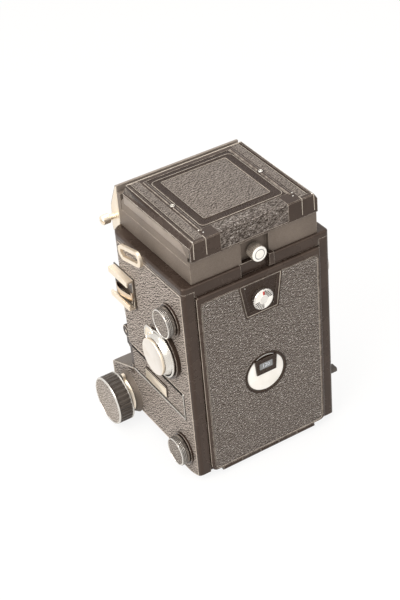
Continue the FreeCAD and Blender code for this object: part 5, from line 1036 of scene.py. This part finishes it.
def makeStandardCatch():  # bail catch on the standard's left edge, with a small ribbed tab below it
    centre, radius, (y, z), side, tabFace = standardFittings.values()
    # the knob's rim and centre and the tab's ribs are coloured as painted highlights
    knob = turnMesh(["gloss", "brightEdge"], "X", centre, [(0, 0), (0, 2.4), (1.4, 2.4), (1.4, radius - 0.3),
        (1.7, radius), (3.3, radius), (3.8, radius - 0.35, 1), (3.9, radius - 0.8), (3.6, 1.4), (3.9, 1.1, 1),
        (3.9, 0, 1)], 48, side)
    tab = plateMesh("plastic", "X", (roundedOutline(y - 2.2, y + 2.2, z - 3.0, z + 2.6, 0.8, 3), side, tabFace, 0.2))
    rib = plateMesh("brightEdge", "X", (taper(0, 0.22, 0.45, 0.12), -2.0, 2.0))
    outward = Matrix.Rotation(math.pi / 2, 4, "Z") @ Matrix.Rotation(math.pi / 2, 4, "Y")
    ribs = withPart(rowTree, rib, setAt("left", tabFace, y, z - 2.2) @ outward, Count=5,
        Step=Vector((0, 0, 1.0)) * mm)
    addPiece("bail_catch", [knob, tab, ribs], "lens_standard", "gloss_black")


makeStandardCatch()

lensFittings = {"boardFace": -57.0, "standardFace": -55.5, "taking": 63.75, "viewing": 113.75, "barrelFace": -67.0}
boardFace, standardFace, takingHeight, viewingHeight, barrelFace = lensFittings.values()
# the ring's chamfer is coloured as a painted highlight
nameRing = [(3.2, 13.6), (3.2, 18.4), (2.4, 18.4), (2.4, 17.9), (2.1, 17.4, 1), (2.4, 16.6, 1), (2.7, 15.2),
    (3.0, 13.9), (3.2, 13.6)]
for name, z in (("taking", takingHeight), ("viewing", viewingHeight)):
    ring = turnMesh(["gloss", "brightEdge"], "Y", (0, z), nameRing, 96, barrelFace)
    addPiece(name + "_inner_ring", [ring], "lens_standard", "gloss_black")

scale = {"figures": ("1", "2", "4", "8", "15", "30", "60", "125", "250", "500"), "from": 200.0, "step": 16.0,
    "radius": 22.9, "face": -61.0}


def makeSpeedScale():
    meshes = []
    for i, text in enumerate(scale["figures"]):
        angle, radius = math.radians(scale["from"] - scale["step"] * i), scale["radius"]
        turn = Matrix.Rotation(math.pi / 2 - angle, 4, "Y") @ textTurn["front"]
        meshes.append(figureMesh(text, 1.7, radius * math.cos(angle), scale["face"] - 0.03,
            takingHeight + radius * math.sin(angle), turn))
    addPiece("speed_figures", meshes, "speed_ring", "grey_paint")


makeSpeedScale()

boardScrews = [(x, boardFace, z) for x in (-30.6, 30.6) for z in (46.6, 93.4, 123.4)]
standardScrews = [(x, standardFace, z) for x in (-35.2, 35.2) for z in (30.0, 38.0)]
screws = screwMeshes(boardScrews, "front", 1.2) + screwMeshes(standardScrews, "front", 1.0, 0.3)
addPiece("lens_board_screws", screws, "lens_standard", "polished_metal")

flash = {"at": (-27.0, 50.8), "out": 3.2}


def makeFlashSocket():  # socket for the flash cord, and the cocking lever beside the shutter
    centre, out = flash.values()
    socket = turnMesh(["gloss", "chrome"], "Y", centre, [(0.3, 0), (0.3, 3.3), (-0.6, 3.3), (-0.8, 3.0), (-0.8, 2.4),
        (-out, 2.3, 1), (-out, 1.75, 1), (-1.4, 1.7), (-1.4, 0.7), (-2.6, 0.6, 1), (-2.7, 0, 1)], 40, boardFace)
    outline = [(21.5, 76.0), (24.6, 78.6), (29.3, 83.4), (30.8, 86.0), (29.6, 87.0), (27.4, 85.2), (20.6, 77.6)]
    lever = plateMesh("chrome", "Y", (outline, boardFace - 1.6, boardFace - 0.8, 0.2))
    tip = turnMesh(["chrome"], "Y", (29.4, 85.4), [(-3.4, 0), (-3.4, 1.0), (-3.0, 1.3), (-1.2, 1.3), (-1.2, 0)], 24,
        boardFace)
    addPiece("flash_socket", [socket, lever, tip], "lens_standard", "polished_metal")


makeFlashSocket()

plateFace = blockLow.y
blank = plateMesh("gloss", "Y", (roundedOutline(-25, 25, 135.6, 145.4, 1.0, 4), plateFace - 0.12, plateFace + 0.3,
    0.1))
# a painted highlight round the blank plate
frameLine = [(x, plateFace - 0.1, z) for x, z in boxOutline(-24.4, 24.4, 136.2, 144.8)]
frameBead = beadMesh(frameLine, "brightEdge", 0.12, 0.8, True)
addPiece("blank_plate", [blank, frameBead], "camera_body", "gloss_black")
print("front ready")

bedTop = {"front": (-60.6, 28.25), "rear": (-39.3, 37.05), "inner": 36.6, "outer": 48.5, "thick": 0.12}
(y0, z0), (y1, z1), inner, outer, thick = bedTop.values()
sheets = [plateMesh("cone", "X", ([(y0, z0), (y1, z1), (y1, z1 + thick), (y0, z0 + thick)],
    *span(side, inner, outer))) for side, _ in bothSides]
addPiece("bed_top_sheets", sheets, "camera_body", "grey_paint")

counter = {"at": (-22.0, 117.0), "face": -49.0}


def makeCounterWindow():
    centre, face = counter.values()
    # the bezel's rim is coloured as a painted highlight
    bezel = turnMesh(["gloss", "brightEdge", "pane"], "X", centre, [(0.4, 0), (0.4, 4.9), (-0.5, 4.9, 1),
        (-0.8, 4.5, 1), (-0.8, 4.1, 1), (-0.35, 3.8), (-0.3, 0, 2)], 48, face)
    figure = figureMesh("1", 4.2, face - 0.34, *centre, textTurn["right"])
    addPiece("counter_window", [bezel, figure], "camera_body", "gloss_black")


makeCounterWindow()

bedScrews = [(x, y, 5.6) for x in (-31.0, 31.0) for y in (-55.0, -33.0)]
addPiece("bed_screws", screwMeshes(bedScrews, "under", 1.4), "camera_body", "polished_metal")
print("right side and underside ready")

bellows = {"folds": 9, "half": 31.0, "deep": 4.0, "wall": 1.6, "corner": 2.6}


def makeBellows():  # pleats open out between the body and the standard
    low, high = boxOf("bellows")
    folds, widest, deep, wall, corner = bellows.values()
    middle, steps = (low.z + high.z) / 2, 2 * folds
    form = bmesh.new()
    rings = []
    for i in range(steps + 1):
        out = widest - (0 if i % 2 else deep)
        y = low.y + (high.y - low.y) * i / steps
        for half in (out, out - wall):
            cut = half - corner * (1.0 if i % 2 else 0.7)
            around = ((half, -cut), (half, cut), (cut, half), (-cut, half), (-half, cut), (-half, -cut),
                (-cut, -half), (cut, -half))
            rings.append([form.verts.new(Vector((x, y, middle + z)) * mm) for x, z in around])
    pairs = [*zip(rings, rings[2:]), (rings[0], rings[1]), (rings[-2], rings[-1])]
    for a, b in pairs:
        for i in range(8):
            form.faces.new((a[i], a[(i + 1) % 8], b[(i + 1) % 8], b[i]))
    piece = bpy.data.objects.new("bellows_cloth", closeMesh(form, ["cloth"], 20))
    scene.collection.objects.link(piece)
    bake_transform(piece)
    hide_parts("bellows")


makeBellows()
print("bellows ready")


studio = {"floorSize": 6.0, "floorTone": (0.93, 0.91, 0.885, 1), "floorGlow": 0.86, "room": (1.0, 0.985, 0.96, 1),
    "roomLight": 0.55}
white = (1, 1, 1, 1)
lamps = {
    "leftSoftbox": {"place": (0.75, 0.25, 0.75), "size": 0.7, "power": 9.0, "tone": (1.0, 0.97, 0.92)},
    "rearSoftbox": {"place": (-0.35, 0.95, 0.85), "size": 0.6, "power": 3.0, "tone": (1.0, 0.98, 0.95)},
    "topPanel": {"place": (0.05, -0.15, 1.15), "size": 0.9, "power": 7.0, "tone": (1.0, 0.98, 0.95)},
}


def seenGlow(tree, share, plain, glow):  # the glow is for rays from the camera, gloss and glass
    rays = addNode(tree, "ShaderNodeLightPath").outputs
    seen = mathNode(tree, "ADD", rays["Is Camera Ray"], rays["Is Glossy Ray"])
    seen = mathNode(tree, "ADD", seen, rays["Is Transmission Ray"], clamp=True)
    part = mathNode(tree, "MULTIPLY", seen, share)
    return addNode(tree, "ShaderNodeMixShader", part, plain.outputs[0], glow.outputs[0]).outputs[0]


def makeFloor():
    mesh = bpy.data.meshes.new("studioFloor")
    size, drop = studio["floorSize"], -0.0004
    mesh.from_pydata([(x, y, drop) for x, y in boxOutline(-size, size, -size, size)], [], [(0, 1, 2, 3)])
    floor = bpy.data.objects.new("studioFloor", mesh)
    scene.collection.objects.link(floor)
    material, tree, shader = startMaterial("paleFloor", Roughness=0.9, Base_Color=studio["floorTone"])
    glow = fill(addNode(tree, "ShaderNodeEmission"), Color=white, Strength=1.0)
    feed(tree.nodes["Material Output"].inputs[0], seenGlow(tree, studio["floorGlow"], shader, glow))
    mesh.materials.append(material)


def makeRoom():
    world = bpy.data.worlds.new("paleRoom")
    world.use_nodes = True
    scene.world = world
    tree = world.node_tree
    tree.nodes.clear()
    room, sky = (fill(addNode(tree, "ShaderNodeBackground"), Color=tone, Strength=strength)
        for tone, strength in ((studio["room"], studio["roomLight"]), (white, 1.0)))
    addNode(tree, "ShaderNodeOutputWorld", seenGlow(tree, 1.0, room, sky))


def arrange(tree):  # columns by the longest way to an output, rows in the order of making
    columns, rows = {node.name: 0 for node in tree.nodes}, {}
    for _ in tree.nodes:
        for link in tree.links:
            start, end = link.from_node.name, link.to_node.name
            columns[start] = max(columns[start], columns[end] + 1)
    for node in tree.nodes:
        column = columns[node.name]
        rows[column] = rows.get(column, 0) + 1
        node.location = (-190 * column, -170 * rows[column])


def placeLamps():
    for name, lamp in lamps.items():
        data = bpy.data.lights.new(name, "AREA")
        data.size, data.energy, data.color = lamp["size"], lamp["power"], lamp["tone"]
        light = bpy.data.objects.new(name, data)
        scene.collection.objects.link(light)
        light.location = lamp["place"]
        aim = Vector((0, 0, 0.08)) - light.location
        light.rotation_euler = aim.to_track_quat("-Z", "Y").to_euler()


makeFloor()
makeRoom()
placeLamps()
owners = [*bpy.data.materials, *bpy.data.worlds]
for tree in [*bpy.data.node_groups, *(owner.node_tree for owner in owners if owner.use_nodes)]:
    arrange(tree)
scene.view_settings.view_transform = "Standard"
print("studio ready")
